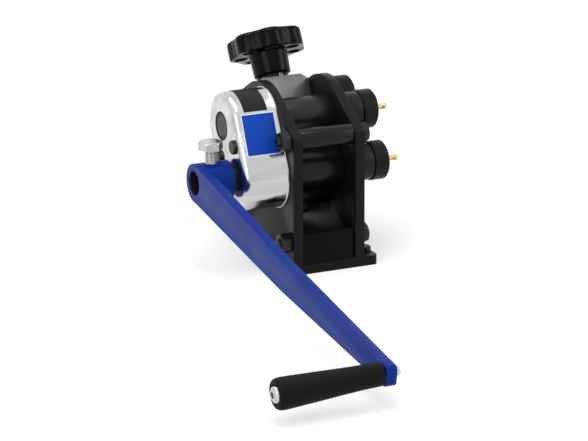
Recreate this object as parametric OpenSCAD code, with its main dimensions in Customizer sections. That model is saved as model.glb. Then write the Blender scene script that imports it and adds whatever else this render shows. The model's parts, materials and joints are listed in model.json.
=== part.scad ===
// Hand-cranked bending machine for bars and profiles.
// Two side plates on a base carry two geared rollers and a third roller on a carriage
// that a screw moves along an inclined slot. The rollers stand outside the right plate.
// X runs across the machine, Y to the rear, Z up. The origin is the middle of the underside.

/* [Base] */
// Width of the flange beside the right plate
flange_w = 15.5; // [15:0.5:30]
// Stand of the base plate beyond the left plate
left_margin = 2; // [0:0.5:10]
// Depth of the base plate and of the side plates
base_depth = 150; // [144:1:170]
// Thickness of the base plate
base_t = 10; // [8:0.5:16]
// Corner radius of the flange
base_corner_r = 5; // [2:0.5:8]
// Diameter of the bench bolt holes
mount_hole_d = 9; // [6:0.5:10]
// Distance of the outer bench bolt holes from the flange's edge
mount_hole_edge = 7; // [6:0.5:8]
// Distance of the inner bench bolt holes from the left plate
mount_hole_inset = 12; // [8:0.5:20]
// Distance of the first pair of bench bolt holes from the front edge
mount_hole_first = 50; // [40:1:60]
// Distance between the two pairs of bench bolt holes
mount_hole_pitch = 50; // [30:1:60]
// Thread size of the levelling screws
level_d = 8; // [5:1:8]
// Width across flats of the levelling screw heads
level_af = 13; // [10:1:13]
// Height of the levelling screw heads
level_head_h = 5.5; // [4:0.5:8]
// Distance of the levelling screws from the flange's edge
level_edge_x = 8; // [8:0.25:8.5]
// Distance of the levelling screws from the front and rear edges
level_edge_y = 18; // [12:1:24]
// Thread size of the screws that hold the side plates from below
base_screw_d = 6; // [4:1:6]
// Depth that these screws reach into the side plates
base_screw_grip = 18; // [12:1:24]
// Distance of these screws from the front and rear edges
base_screw_edge = 36; // [33:1:46]

/* [Side plates] */
// Thickness of each side plate
plate_t = 10; // [8:0.5:12]
// Free distance between the side plates
plate_gap = 58; // [54:1:60]
// Height of the front shoulder above the base plate
shoulder_h = 130.5; // [126:0.5:136]
// Rise of the front slope behind the shoulder, in degrees
front_slope = 32; // [29:0.5:34]
// Radius of the rounded peak
peak_r = 50; // [42:1:54]
// Reach of the sloping rear edge beyond the lower axle, along the screw
crest_reach = 98; // [96:1:104]
// Thickness of the web between the plates at the front
web_t = 5; // [3:0.5:5]
// Height of the front web above the base plate
web_h = 31; // [24:1:34]
// Gap between the front web and the right plate
web_side_gap = 2.5; // [0:0.5:4]
// Setback of the front web behind the plates' front edges
web_setback = 0.5; // [0:0.1:0.5]

/* [Axles] */
// Distance of the lower axle behind the front edge
lower_y = 43; // [42:0.5:46]
// Height of the lower axle above the base plate
lower_h = 86; // [84:0.5:90]
// Lean of the roller row and the screw to the rear, in degrees
tilt = 28; // [26:0.5:30]
// Diameter of the two driven shafts
shaft_d = 25; // [22:0.5:25]
// Outer diameter of the bearing housings
housing_d = 40; // [36:1:42]
// Wall of the bushes in the plates
bush_wall = 2.5; // [1.5:0.5:3]
// Length of each bush
bush_len = 20; // [14:1:26]
// Radial clearance of turning and sliding fits
run_clear = 0.05; // [0.02:0.01:0.09]
// Radial clearance of pieces seated in each other
seat_clear = 0.02; // [0.01:0.01:0.03]

/* [Rollers] */
// Diameter of the rollers
roller_d = 38; // [32:1:40]
// Width of the rollers
roller_w = 23.5; // [18:0.5:30]
// Gap between the right plate and the rollers
roller_gap = 0.5; // [0.3:0.1:2]
// Diameter of the end caps
cap_d = 40; // [38:1:42]
// Width of the end caps
cap_w = 17; // [12:0.5:19]
// Bevel of the end caps
cap_bevel = 2; // [1:0.5:3]
// Width across flats of the grease nipples
nipple_af = 8; // [6:0.5:10]
// Length of the grease nipples outside the caps
nipple_len = 18; // [12:0.5:20]
// Diameter of the ball end of the grease nipples
nipple_ball_d = 6.5; // [5:0.5:8]
// Diameter of the rear roller's shaft
rear_shaft_d = 20; // [16:1:20]
// Distance of the rear roller behind the roller row
rear_offset = 45; // [44.5:0.5:50]
// Place of the rear roller along the screw, counted from the lower axle
rear_reach = 81; // [78:0.5:82]

/* [Gears] */
// Module of the two equal gears
gear_module = 3; // [3:0.05:3.1]
// Number of teeth of each gear, an even number
gear_teeth = 18; // [18:2:18]
// Pressure angle in degrees
pressure_angle = 20; // [20:1:25]
// Backlash of the gear pair
backlash = 0.2; // [0.1:0.05:0.4]
// Face width of the gears
gear_w = 20; // [14:1:22]
// Distance of the gears from the left plate
gear_standoff = 6; // [4:0.5:8]
// Outer diameter of the gear hubs
gear_hub_d = 34; // [32:1:36]
// Diameter of the upper gear's nose in the cover
nose_d = 28; // [27:0.5:30]
// Width of the keys
key_w = 8; // [5:1:8]
// Height of the keys
key_h = 7; // [5:1:7]
// Length of the keys
key_len = 16; // [10:1:18]

/* [Gear cover] */
// Outer radius of the cover's round ends
cover_r = 34; // [33.5:0.25:34.5]
// Width of the rim against the plate
cover_lip = 1; // [0.5:0.25:1]
// Thickness of that rim
cover_lip_t = 2; // [1:0.5:3]
// Depth of the cover
cover_depth = 47.4; // [46:0.2:52]
// Wall of the cover
cover_wall = 2; // [1:0.25:2.5]
// Radius of the cover's outer corner
cover_corner_r = 7.5; // [4:0.5:10]
// Gap around the gear's nose in the cover
nose_gap = 0.75; // [0.4:0.05:1.5]
// Gap around the crank shaft in the cover
shaft_gap = 1; // [0.5:0.25:2]
// Diameter of the cover bolts
cover_bolt_d = 5; // [4:0.5:5]
// Width across flats of the cover bolt heads
cover_bolt_af = 13; // [8:1:13]
// Height of the cover bolt heads
cover_bolt_h = 3; // [3:0.5:5]
// Distance of the cover bolts from the cover's middle line
cover_bolt_offset = 20; // [20:0.5:22]

/* [Tie bolts] */
// Thread size of the tie bolts
tie_d = 12; // [10:1:12]
// Width across flats of the heads and nuts
tie_af = 18; // [16:1:18]
// Height of the heads
tie_head_h = 7.5; // [6:0.5:8]
// Height of the nuts
tie_nut_h = 10; // [8:0.5:11]
// Length of thread beyond the nuts
tie_tail = 3; // [1:0.5:5]
// Outer diameter of the spacer tubes
spacer_d = 21.5; // [18:0.5:22]
// Distance of the front ties from the front edge
tie_front_y = 12.5; // [12:0.5:12.5]
// Distance of the rear ties from the rear edge
tie_rear_edge = 12; // [12:0.5:14]
// Height of the lower ties above the base plate
tie_low_h = 21.5; // [18:0.5:24]
// Height of the upper front tie above the base plate
tie_front_h = 126; // [125:0.5:127]
// Height of the upper rear tie above the base plate
tie_rear_h = 70; // [60:1:74]

/* [Adjuster] */
// Diameter of the adjusting screw
screw_d = 16; // [12:1:18]
// Diameter of the screw's journal in the thrust bar
journal_d = 12; // [8:1:12]
// Diameter of the thrust bar
thrust_bar_d = 24; // [20:1:26]
// Place of the thrust bar along the screw, counted from the lower axle
thrust_reach = -17; // [-20:0.5:-16]
// Depth of the flats milled on the thrust bar
thrust_flat = 2; // [1:0.5:3]
// Length of those flats
thrust_flat_len = 28; // [26:1:32]
// Diameter of the spigots at the thrust bar's ends
spigot_d = 16; // [10:1:18]
// Length of those spigots
spigot_len = 5; // [3:0.5:6]
// Diameter of the thrust collar
collar_d = 24; // [20:1:26]
// Height of the thrust collar
collar_h = 9; // [6:0.5:10]
// Width across flats of the retaining nut
retain_af = 18; // [16:1:20]
// Height of the retaining nut
retain_h = 8; // [6:0.5:9]
// Length of thread below the retaining nut
retain_tail = 2; // [1:0.5:3]
// End play of the screw on each side of the thrust bar
thrust_play = 0.1; // [0.05:0.05:0.2]
// Distance of the knob's hub above the carriage at rest
hub_standoff = 11; // [8:0.5:14]
// Diameter of the lock collar below the hub
lock_collar_d = 31; // [24:1:32]
// Height of the hub below the rim
hub_h = 21; // [16:0.5:26]
// Diameter of the hub at its lower end
hub_low_d = 36.5; // [32:0.5:38]
// Diameter of the hub at the rim
hub_top_d = 39.5; // [38:0.5:41]
// Diameter of the knob over the lobes
knob_d = 80; // [72:1:84]
// Height of the knob's rim
knob_h = 20; // [16:0.5:24]
// Number of lobes
knob_lobes = 7; // [6:1:8]
// Diameter of each lobe
lobe_d = 26; // [24:0.5:28]
// Depth of the valleys between the lobes
valley_depth = 4.5; // [3:0.25:6]
// Diameter of the pockets under the lobes
pocket_d = 15; // [10:0.5:16]
// Depth of these pockets
pocket_depth = 13; // [8:0.5:14]
// Rounding of the knob's upper edge
knob_edge_r = 5; // [2:0.5:7]
// Diameter of the metal insert in the hub
insert_d = 24; // [22:0.5:26]
// Diameter of the plug on top of the knob
plug_d = 28; // [24:0.5:32]
// Thickness of that plug
plug_t = 3; // [2:0.5:4]

/* [Carriage] */
// Travel of the carriage along the screw
travel = 35; // [20:1:35]
// Depth of the carriage from front to rear
carriage_depth = 45; // [40:0.5:48]
// Height of the carriage along the screw
carriage_h = 39; // [37:0.5:42]
// Stand of the carriage's top beyond the plates' sloping edge
carriage_stand = 2; // [0:0.5:4]
// Gap between the carriage and each side plate
carriage_gap = 0.3; // [0.2:0.05:0.5]
// Width of the slopes on the carriage's upper corners
slope_w = 9; // [4:0.5:12]
// Height of these slopes
slope_h = 18; // [8:0.5:22]
// Width of the guide slots
slot_w = 24; // [23:0.5:24]
// Corner radius at the slots' lower ends
slot_corner_r = 5; // [2:0.5:8]
// Length of the guide blocks in the slots
guide_h = 34; // [32:0.5:34]
// Wall between the screw and the rear roller's shaft
screw_wall = 4; // [2:0.5:6]

/* [Crank] */
// Radius of the crank from shaft to handle
crank_r = 418; // [300:1:450]
// Dip of the crank arm below the horizontal, in degrees
crank_dip = 9; // [0:0.1:9.8]
// Thickness of the crank arm
arm_t = 10; // [8:0.5:14]
// Width of the crank arm at the boss
eye_w = 39; // [36:1:42]
// Width of the crank arm halfway along
arm_mid_w = 30; // [24:0.5:32]
// Rise of the arm's middle above the line from the shaft to the handle
arm_bow = 4; // [0:0.5:4]
// Width of the crank arm at the handle
arm_end_w = 20; // [18:0.5:24]
// Corner radius of the arm's end
arm_corner_r = 5; // [2:0.5:8]
// Length of the boss behind the arm
boss_len = 26.5; // [26:0.5:32]
// Gap between the boss and the gear cover
boss_gap = 4.6; // [1:0.1:6]
// Depth of the shaft's end inside the boss
shaft_recess = 12; // [8:0.5:12]
// Thread size of the set bolt
set_bolt_d = 12; // [8:1:12]
// Width across flats of the set bolt's head
set_bolt_af = 22; // [16:1:22]
// Height of the set bolt's head
set_head_h = 8; // [6:0.5:10]
// Free length of the set bolt below its head
set_shank = 13.5; // [8:0.5:20]
// Distance of the set bolt from the boss's end
set_bolt_end = 18.5; // [18.5:0.5:20]

/* [Handle] */
// Length of the grip
grip_len = 100; // [90:1:130]
// Diameter of the grip at its outer end
grip_outer_d = 29; // [26:0.5:34]
// Diameter of the grip at the arm
grip_inner_d = 22; // [20:0.5:26]
// Droop of the spindle, in degrees
grip_droop = 2; // [0:0.5:2]
// Gap between the arm and the grip
grip_gap = 2.4; // [2:0.1:4]
// Diameter of the spindle in the grip
spindle_d = 12; // [10:0.5:14]
// Diameter of the spindle in the arm
stud_d = 9; // [7:0.5:10]
// Stand of the spindle's end beyond the arm
stud_tail = 4; // [2:0.5:6]
// Diameter of the washer beside the arm
grip_washer_d = 18; // [14:0.5:20]
// Diameter of the end screw's head
end_screw_d = 16; // [14:0.5:18]
// Height of the end screw's head
end_screw_h = 6; // [4:0.5:8]
// Thread size of the end screw
end_thread_d = 6; // [4:1:8]
// Width across flats of the end screw's socket
end_socket_af = 6; // [4:0.5:7]

/* [Hidden] */
$fn = 64;

// One overrun for all cuts
cut = 1;
// Small bevel of turned ends and heads
edge_bevel = 0.8;
// Depth of the countersinks, and the play of their cones
countersink = 3;
cone_play = 0.05;
// Wall of the caps between the shaft's end and the nipple
cap_wall = 3.5;
// Free gap beside the gear hubs and at both ends of the grip
hub_gap = 0.3;
// Setback of the upper gear's nose from the cover's face
nose_sink = 0.4;
// Gap between the lock collar and the carriage at rest
lock_gap = 1;
// Spare length of the guide slots below the carriage's lowest place
slot_play = 1;

// Shares of the sizes above
head_bevel_share = 0.12;
socket_share = 0.67;
bolt_grip_share = 0.8;
arm_root_share = 0.98;
root_share = 1.25;
cap_play_share = 0.14;
nipple_thread_share = 0.6;
nipple_neck_share = 0.75;
nipple_hex_share = 0.3;
nipple_flat_share = 0.06;
insert_share = 0.9;
thread_share = 2.5;
// Points of a rounded edge from its side to its top, inwards and downwards
edge_shares = [[0, 1], [0.13, 0.5], [0.5, 0.13], [1, 0]];
// The end screw's domed head from its rim to its crown, as shares of its width and height
dome_shares = [[0.5, 0], [0.5, 0.45], [0.46, 0.7], [0.36, 0.9], [0.25, 1]];
// Grip radius along its length: a waist at the arm, a swell and a rounded outer end
grip_shares = [[0, 0.90], [0.015, 0.985], [0.05, 1], [0.16, 1.0], [0.3, 1.04], [0.45, 1.1],
    [0.6, 1.17], [0.75, 1.235], [0.88, 1.285], [0.95, 1.3], [0.985, 1.26], [1, 1.16]];
// The grip's shares are written for this swell from its waist to its widest place
grip_swell_share = 0.3;

// Directions along and across the roller row, as depth and height
row_dir = [sin(tilt), cos(tilt)];
rear_dir = [cos(tilt), -sin(tilt)];
lower_axle = [lower_y, base_t + lower_h];
centre_distance = gear_module * gear_teeth;
upper_axle = lower_axle + centre_distance * row_dir;
thrust_point = lower_axle + rear_offset * rear_dir + thrust_reach * row_dir;

inner_x = plate_gap / 2;
outer_x = inner_x + plate_t;
base_w = left_margin + 2 * outer_x + flange_w;
mount_hole_xs = [-inner_x + mount_hole_inset, outer_x + flange_w - mount_hole_edge];

// Outline of the side plates
front_normal = [sin(front_slope), -cos(front_slope)];
shoulder = [0, base_t + shoulder_h];
arc_base = lower_axle + (crest_reach - peak_r) * row_dir;
arc_shift = (peak_r - (arc_base - shoulder) * front_normal) / sin(tilt + front_slope);
peak_centre = arc_base + arc_shift * rear_dir;
peak_corner = peak_centre + peak_r / (1 - front_normal * row_dir) * (row_dir - front_normal);
rear_top_m = (base_depth - lower_y - crest_reach * sin(tilt)) / cos(tilt);
rear_top = lower_axle + rear_top_m * rear_dir + crest_reach * row_dir;
slot_from = rear_reach - guide_h / 2 - travel - slot_play;
hub_reach = crest_reach + carriage_stand + hub_standoff;

tie_points = [[tie_front_y, base_t + tie_front_h], [tie_front_y, base_t + tie_low_h],
    [base_depth - tie_rear_edge, base_t + tie_rear_h], [base_depth - tie_rear_edge, base_t + tie_low_h]];
// The lower front tie runs free behind the web, so it has no spacer tube
spaced_ties = [tie_points[0], tie_points[2], tie_points[3]];

bush_d = shaft_d + 2 * run_clear + 2 * bush_wall;
cover_end_x = -outer_x - cover_depth;
roller_x = outer_x + roller_gap;
cap_x = roller_x + roller_w;
cap_end_x = cap_x + cap_w;
shaft_end_x = cap_end_x - cap_wall;
gear_x = -outer_x - gear_standoff - gear_w;
nose_end_x = cover_end_x + nose_sink;
boss_x = cover_end_x - boss_gap - boss_len;
arm_x = boss_x - arm_t;
handle_point = lower_axle - crank_r * [cos(crank_dip), sin(crank_dip)];
key_seat = key_h / 2;
cover_bolt_ms = [-cover_bolt_offset, cover_bolt_offset];
cover_bolt_n = centre_distance / 2;

// Places a child drawn in depth and height, and thick along X, at a point of the side view
module side_at(p, x = 0) {
    translate([x, p[0] - base_depth / 2, p[1]]) rotate([90, 0, 90]) children();
}

// The same with the child's axes turned to the rear and along the roller row
module row_at(m, n, x = 0) {
    side_at(lower_axle + m * rear_dir + n * row_dir, x) rotate(-tilt) children();
}

// Stands a child on the screw's axis at a given reach, with its Z along the screw
module screw_at(n) {
    p = lower_axle + rear_offset * rear_dir + n * row_dir;
    translate([0, p[0] - base_depth / 2, p[1]]) rotate([-tilt, 0, 0]) children();
}

// Lays a child on the spindle's axis, with its Z pointing away from the arm
module spindle_at(z = 0) {
    translate([arm_x, handle_point[0] - base_depth / 2, handle_point[1]])
        rotate([0, -90 - grip_droop, 0]) translate([0, 0, z]) children();
}

module hexagon(af) {
    circle(d = af / cos(30), $fn = 6);
}

// Round bar with bevelled ends
module turned_bar(d, len, bevel = edge_bevel) {
    rotate_extrude() polygon([[0, 0], [d / 2 - bevel, 0], [d / 2, bevel],
        [d / 2, len - bevel], [d / 2 - bevel, len], [0, len]]);
}

// Hexagonal head or nut with bevelled corners
module hex_head(af, h) {
    corner = af / cos(30) / 2;
    intersection() {
        linear_extrude(h) hexagon(af);
        rotate_extrude() polygon([[0, 0], [corner, 0], [corner, h - corner * head_bevel_share],
            [af / 2 * (1 - head_bevel_share / 2), h], [0, h]]);
    }
}

module rounded_rect(w, h, r) {
    for (x = [r, w - r], y = [r, h - r]) translate([x, y]) circle(r);
    translate([r, 0]) square([w - 2 * r, h]);
    translate([0, r]) square([w, h - 2 * r]);
}

// Two round ends joined by straight sides, along Y from the origin
module obround(r, len) {
    circle(r);
    translate([0, len]) circle(r);
    translate([-r, 0]) square([2 * r, len]);
}

module base_plate() {
    color("#141414") difference() {
        translate([-outer_x - left_margin, -base_depth / 2, 0]) linear_extrude(base_t) {
            square([base_w / 2 + base_corner_r, base_depth]);
            translate([base_w / 2, 0]) rounded_rect(base_w / 2, base_depth, base_corner_r);
        }
        for (x = mount_hole_xs, y = [0, mount_hole_pitch])
            translate([x, mount_hole_first + y - base_depth / 2, -cut])
                cylinder(d = mount_hole_d, h = base_t + 2 * cut);
        at_levelling() translate([0, 0, -cut]) cylinder(d = level_d + 2 * seat_clear, h = base_t + 2 * cut);
        at_base_screws() {
            translate([0, 0, -cut]) cylinder(d = base_screw_d + 2 * seat_clear, h = base_t + 2 * cut);
            translate([0, 0, -cut]) cylinder(r1 = base_screw_d / 2 + countersink + cut + cone_play,
                r2 = base_screw_d / 2, h = countersink + cut + cone_play);
        }
    }
}

module at_levelling() {
    for (sy = [-1, 1])
        translate([outer_x + flange_w - level_edge_x, sy * (base_depth / 2 - level_edge_y), 0]) rotate(30) children();
}

module at_base_screws() {
    for (sx = [-1, 1], sy = [-1, 1])
        translate([sx * (inner_x + plate_t / 2), sy * (base_depth / 2 - base_screw_edge), 0]) children();
}

module base_screws() {
    color("#2b2b2b") at_base_screws() difference() {
        union() {
            cylinder(d = base_screw_d, h = base_t + base_screw_grip);
            cylinder(r1 = base_screw_d / 2 + countersink, r2 = base_screw_d / 2, h = countersink);
        }
        translate([0, 0, -cut]) linear_extrude(countersink + cut) hexagon(base_screw_d * socket_share);
    }
}

module levelling_screws() {
    color("#1c1c1c") at_levelling() {
        cylinder(d = level_d, h = base_t + edge_bevel);
        translate([0, 0, base_t]) hex_head(level_af, level_head_h);
    }
}

// The peak is cut round from a sharp corner
module plate_outline() {
    difference() {
        polygon([[0, base_t], shoulder, peak_corner, rear_top, [base_depth, base_t]]);
        translate(peak_centre) difference() {
            polygon([[0, 0], -2 * peak_r * front_normal, 3 * (peak_corner - peak_centre), 2 * peak_r * row_dir]);
            circle(peak_r, $fn = 128);
        }
    }
}

// Guide slot, open at the plates' sloping rear edge
module slot_outline() {
    translate(lower_axle) rotate(-tilt) translate([rear_offset - slot_w / 2, slot_from]) {
        translate([0, slot_corner_r]) square([slot_w, crest_reach]);
        translate([slot_corner_r, 0]) square([slot_w - 2 * slot_corner_r, crest_reach]);
        for (x = [slot_corner_r, slot_w - slot_corner_r]) translate([x, slot_corner_r]) circle(slot_corner_r);
    }
}

module side_plate(x) {
    difference() {
        side_at([0, 0], x) linear_extrude(plate_t) difference() {
            plate_outline();
            slot_outline();
            for (p = tie_points) translate(p) circle(d = tie_d + 2 * seat_clear);
            for (p = [lower_axle, upper_axle]) translate(p) circle(d = bush_d + 2 * seat_clear);
        }
        side_at(thrust_point, -inner_x - spigot_len) cylinder(d = spigot_d + 2 * seat_clear,
            h = plate_gap + 2 * spigot_len);
        at_base_screws() cylinder(d = base_screw_d + 2 * seat_clear, h = base_t + base_screw_grip + cut);
    }
}

module left_plate() {
    color("#171717") difference() {
        side_plate(-outer_x);
        at_cover_bolts(-outer_x - cut) cylinder(d = cover_bolt_d + 2 * seat_clear, h = cover_bolt_grip() + cut);
    }
}

module right_plate() {
    color("#171717") side_plate(inner_x);
}

function cover_bolt_grip() = plate_t * bolt_grip_share;

module front_web() {
    color("#151515") translate([-inner_x, web_setback - base_depth / 2, base_t])
        cube([plate_gap - web_side_gap, web_t, web_h]);
}

module tie_bolts() {
    len = 2 * outer_x + tie_nut_h + tie_tail;
    color("#1a1a1a") for (p = tie_points) side_at(p, -outer_x - tie_nut_h - tie_tail) {
        turned_bar(tie_d, len + edge_bevel);
        translate([0, 0, len]) rotate(tilt_flat()) hex_head(tie_af, tie_head_h);
    }
}

// Turns a hexagon so that one flat faces the gear cover
function tilt_flat() = 30 - tilt;

module tie_nuts() {
    color("#1a1a1a") for (p = tie_points) side_at(p, -outer_x) mirror([0, 0, 1]) rotate(tilt_flat())
        difference() {
            hex_head(tie_af, tie_nut_h);
            translate([0, 0, -cut]) cylinder(d = tie_d + 2 * seat_clear, h = tie_nut_h + 2 * cut);
        }
}

module tie_spacers() {
    color("#202020") for (p = spaced_ties) side_at(p, -inner_x) difference() {
        cylinder(d = spacer_d, h = plate_gap);
        translate([0, 0, -cut]) cylinder(d = tie_d + 2 * seat_clear, h = plate_gap + 2 * cut);
    }
}

module housing(p) {
    color("#1b1b1b") side_at(p, -inner_x) difference() {
        cylinder(d = housing_d, h = plate_gap);
        translate([0, 0, -cut]) cylinder(d = bush_d + 2 * seat_clear, h = plate_gap + 2 * cut);
    }
}

module lower_housing() {
    housing(lower_axle);
}

module upper_housing() {
    housing(upper_axle);
}

module bushes() {
    color("#b08d57") for (p = [lower_axle, upper_axle], x = [-outer_x, outer_x - bush_len])
        side_at(p, x) difference() {
            cylinder(d = bush_d, h = bush_len);
            translate([0, 0, -cut]) cylinder(d = shaft_d + 2 * run_clear, h = bush_len + 2 * cut);
        }
}

module at_cover_bolts(x) {
    for (m = cover_bolt_ms) row_at(m, cover_bolt_n, x) children();
}

// Solid obround block with a rounded far edge, standing on its flat side
module cover_block(r, depth, corner) {
    edge = min(corner, r / 2);
    for (y = [0, centre_distance]) translate([0, y, 0]) rotate_extrude() cover_profile(r, depth, edge);
    translate([0, centre_distance, 0]) rotate([90, 0, 0]) linear_extrude(centre_distance) {
        cover_profile(r, depth, edge);
        mirror([1, 0]) cover_profile(r, depth, edge);
    }
}

module cover_profile(r, depth, edge) {
    square([r - edge, depth]);
    square([r, depth - edge]);
    intersection() {
        translate([r - edge, depth - edge]) circle(edge);
        translate([r - edge, depth - edge]) square(edge);
    }
}

module gear_cover() {
    color("#c9ccd0") row_at(0, 0, -outer_x) mirror([0, 0, 1]) difference() {
        union() {
            cover_block(cover_r, cover_depth, cover_corner_r);
            linear_extrude(cover_lip_t) obround(cover_r + cover_lip, centre_distance);
        }
        translate([0, 0, -cut]) cover_block(cover_r - cover_wall, cover_depth - cover_wall + cut,
            cover_corner_r - cover_wall);
        cylinder(d = shaft_d + 2 * shaft_gap, h = cover_depth + cut);
        translate([0, centre_distance, 0]) cylinder(d = nose_d + 2 * nose_gap, h = cover_depth + cut);
        for (m = cover_bolt_ms) translate([m, cover_bolt_n, 0])
            cylinder(d = cover_bolt_d + 2 * seat_clear, h = cover_depth + cut);
    }
}

module cover_bolts() {
    color("#26282a") at_cover_bolts(-outer_x + cover_bolt_grip()) mirror([0, 0, 1]) {
        cylinder(d = cover_bolt_d, h = cover_bolt_grip() + cover_depth + edge_bevel);
        translate([0, 0, cover_bolt_grip() + cover_depth]) hex_head(cover_bolt_af, cover_bolt_h);
    }
}

module thrust_bar() {
    color("#242424") difference() {
        union() {
            side_at(thrust_point, -inner_x) cylinder(d = thrust_bar_d, h = plate_gap);
            side_at(thrust_point, -inner_x - spigot_len) cylinder(d = spigot_d, h = plate_gap + 2 * spigot_len);
        }
        for (s = [-1, 1]) screw_at(thrust_reach + s * (thrust_bar_d / 2 - thrust_flat / 2 + cut / 2))
            cube([thrust_flat_len, thrust_bar_d, thrust_flat + cut], center = true);
        screw_at(thrust_reach - thrust_bar_d) cylinder(d = journal_d + 2 * run_clear, h = 2 * thrust_bar_d);
    }
}

// Round eye, taper and rounded end of the arm, along X from the origin
module arm_outline() {
    root = eye_w / 2 * arm_root_share;
    tip = arm_end_w / 2 * arm_root_share;
    circle(d = eye_w);
    polygon([[0, -root], [crank_r / 2, arm_bow - arm_mid_w / 2], [crank_r, -tip],
        [crank_r, tip], [crank_r / 2, arm_bow + arm_mid_w / 2], [0, root]]);
    translate([crank_r - arm_end_w / 2, -arm_end_w / 2]) rounded_rect(arm_end_w, arm_end_w, arm_corner_r);
}

module crank_arm() {
    color("#2a35a0") difference() {
        side_at(lower_axle, arm_x) rotate(180 + crank_dip) linear_extrude(arm_t) difference() {
            arm_outline();
            circle(d = shaft_d + 2 * seat_clear);
        }
        spindle_at(-2 * arm_t) cylinder(d = stud_d + 2 * seat_clear, h = 3 * arm_t);
    }
}

module crank_boss() {
    color("#2a35a0") difference() {
        side_at(lower_axle, boss_x) linear_extrude(boss_len) difference() {
            circle(d = eye_w);
            circle(d = shaft_d + 2 * seat_clear);
        }
        at_set_bolt() cylinder(d = set_bolt_d + 2 * seat_clear, h = eye_w);
    }
}

module at_set_bolt() {
    side_at(lower_axle, boss_x + boss_len - set_bolt_end) rotate([-90, 0, 0]) children();
}

module set_bolt() {
    seat = shaft_d / 2 + seat_clear;
    head = eye_w / 2 + set_shank;
    color("#b9bcbd") at_set_bolt() {
        translate([0, 0, seat]) turned_bar(set_bolt_d, head - seat + edge_bevel);
        translate([0, 0, head]) hex_head(set_bolt_af, set_head_h);
    }
}

// Groove for a key in a shaft or a hub, on the side of the shaft away from the lower roller
module key_slot(len, play = 0) {
    translate([-key_w / 2 - play, shaft_d / 2 - key_seat - play, 0])
        cube([key_w + 2 * play, key_h + 2 * play, len]);
}

gear_key_x = gear_x + (gear_w - key_len) / 2;
roller_key_x = roller_x + (roller_w - key_len) / 2;

module driven_shaft(x, n) {
    difference() {
        row_at(0, n, x) turned_bar(shaft_d, shaft_end_x - x);
        for (kx = [gear_key_x, roller_key_x]) row_at(0, n, kx) key_slot(key_len, 0);
    }
}

module shaft_keys(n) {
    for (kx = [gear_key_x, roller_key_x]) row_at(0, n, kx) key_slot(key_len);
}

module lower_shaft() {
    color("#8d9092") driven_shaft(arm_x + shaft_recess, 0);
}

module upper_shaft() {
    color("#8d9092") driven_shaft(nose_end_x, centre_distance);
}

module lower_keys() {
    color("#6f7275") shaft_keys(0);
}

module upper_keys() {
    color("#6f7275") shaft_keys(centre_distance);
}

function involute(a) = tan(a) * 180 / PI - a;

// Polar points of one flank from the base circle to the tip, as radius and half angle
function flank(steps) = let (
    pitch_r = gear_module * gear_teeth / 2,
    base_r = pitch_r * cos(pressure_angle),
    tip_r = pitch_r + gear_module,
    half = 90 / gear_teeth - backlash / 4 / pitch_r * 180 / PI)
    [for (i = [0:steps]) let (r = base_r + (tip_r - base_r) * i / steps)
        [r, half + involute(pressure_angle) - involute(acos(base_r / r))]];

module gear_outline() {
    steps = 6;
    side = flank(steps);
    root_r = gear_module * gear_teeth / 2 - root_share * gear_module;
    polygon([for (k = [0:gear_teeth - 1]) let (a = k * 360 / gear_teeth) each concat(
        [root_r * [cos(a - side[0][1]), sin(a - side[0][1])]],
        [for (i = [0:steps]) side[i][0] * [cos(a - side[i][1]), sin(a - side[i][1])]],
        [for (i = [steps:-1:0]) side[i][0] * [cos(a + side[i][1]), sin(a + side[i][1])]],
        [root_r * [cos(a + side[0][1]), sin(a + side[0][1])]])]);
}

module gear(n, phase, nose_dia, nose_x) {
    difference() {
        union() {
            row_at(0, n, gear_x) rotate(phase) linear_extrude(gear_w) gear_outline();
            row_at(0, n, gear_x) cylinder(d = gear_hub_d, h = gear_w + gear_standoff - hub_gap);
            row_at(0, n, nose_x) turned_bar(nose_dia, gear_x - nose_x + gear_w / 2);
        }
        row_at(0, n, nose_x - cut) cylinder(d = shaft_d + 2 * seat_clear, h = -outer_x - nose_x + 2 * cut);
        row_at(0, n, gear_key_x) key_slot(key_len, seat_clear);
    }
}

module drive_gear() {
    color("#5c5f62") gear(0, 0, gear_hub_d, gear_x - gear_w / 2);
}

module driven_gear() {
    color("#3c3e40") gear(centre_distance, 180 / gear_teeth, nose_d, nose_end_x);
}

module roller_sleeve(m, n, bore) {
    row_at(m, n, roller_x) difference() {
        turned_bar(roller_d, roller_w);
        translate([0, 0, -cut]) cylinder(d = bore, h = roller_w + 2 * cut);
    }
}

module keyed_sleeve(n) {
    difference() {
        roller_sleeve(0, n, shaft_d + 2 * seat_clear);
        row_at(0, n, roller_key_x) key_slot(key_len, seat_clear);
    }
}

// Cap with a bevelled edge, a blind bore for the shaft and a hole for the nipple
module end_cap(m, n, bore) {
    row_at(m, n, cap_x) difference() {
        rotate_extrude() polygon([[0, 0], [cap_d / 2 - cap_bevel / 2, 0], [cap_d / 2, cap_bevel / 2],
            [cap_d / 2, cap_w - cap_bevel], [cap_d / 2 - cap_bevel, cap_w], [0, cap_w]]);
        translate([0, 0, -cut]) cylinder(d = bore, h = cap_w - cap_wall + cap_end_play() + cut);
        cylinder(d = nipple_thread() + 2 * seat_clear, h = cap_w + cut);
    }
}

function cap_end_play() = cap_wall * cap_play_share;
function nipple_thread() = nipple_af * nipple_thread_share;

module nipple(m, n) {
    neck = nipple_ball_d * nipple_neck_share;
    hex_h = nipple_len * nipple_hex_share;
    color("#d3a44c") row_at(m, n, cap_end_x) {
        linear_extrude(hex_h) hexagon(nipple_af);
        translate([0, 0, -cap_wall * bolt_grip_share]) cylinder(d = nipple_thread(), h = cap_wall);
        cylinder(d = neck, h = nipple_len - nipple_ball_d / 2);
        intersection() {
            translate([0, 0, nipple_len - nipple_ball_d / 2]) sphere(d = nipple_ball_d);
            cylinder(d = 2 * nipple_ball_d, h = nipple_len - nipple_ball_d * nipple_flat_share);
        }
    }
}

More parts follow.
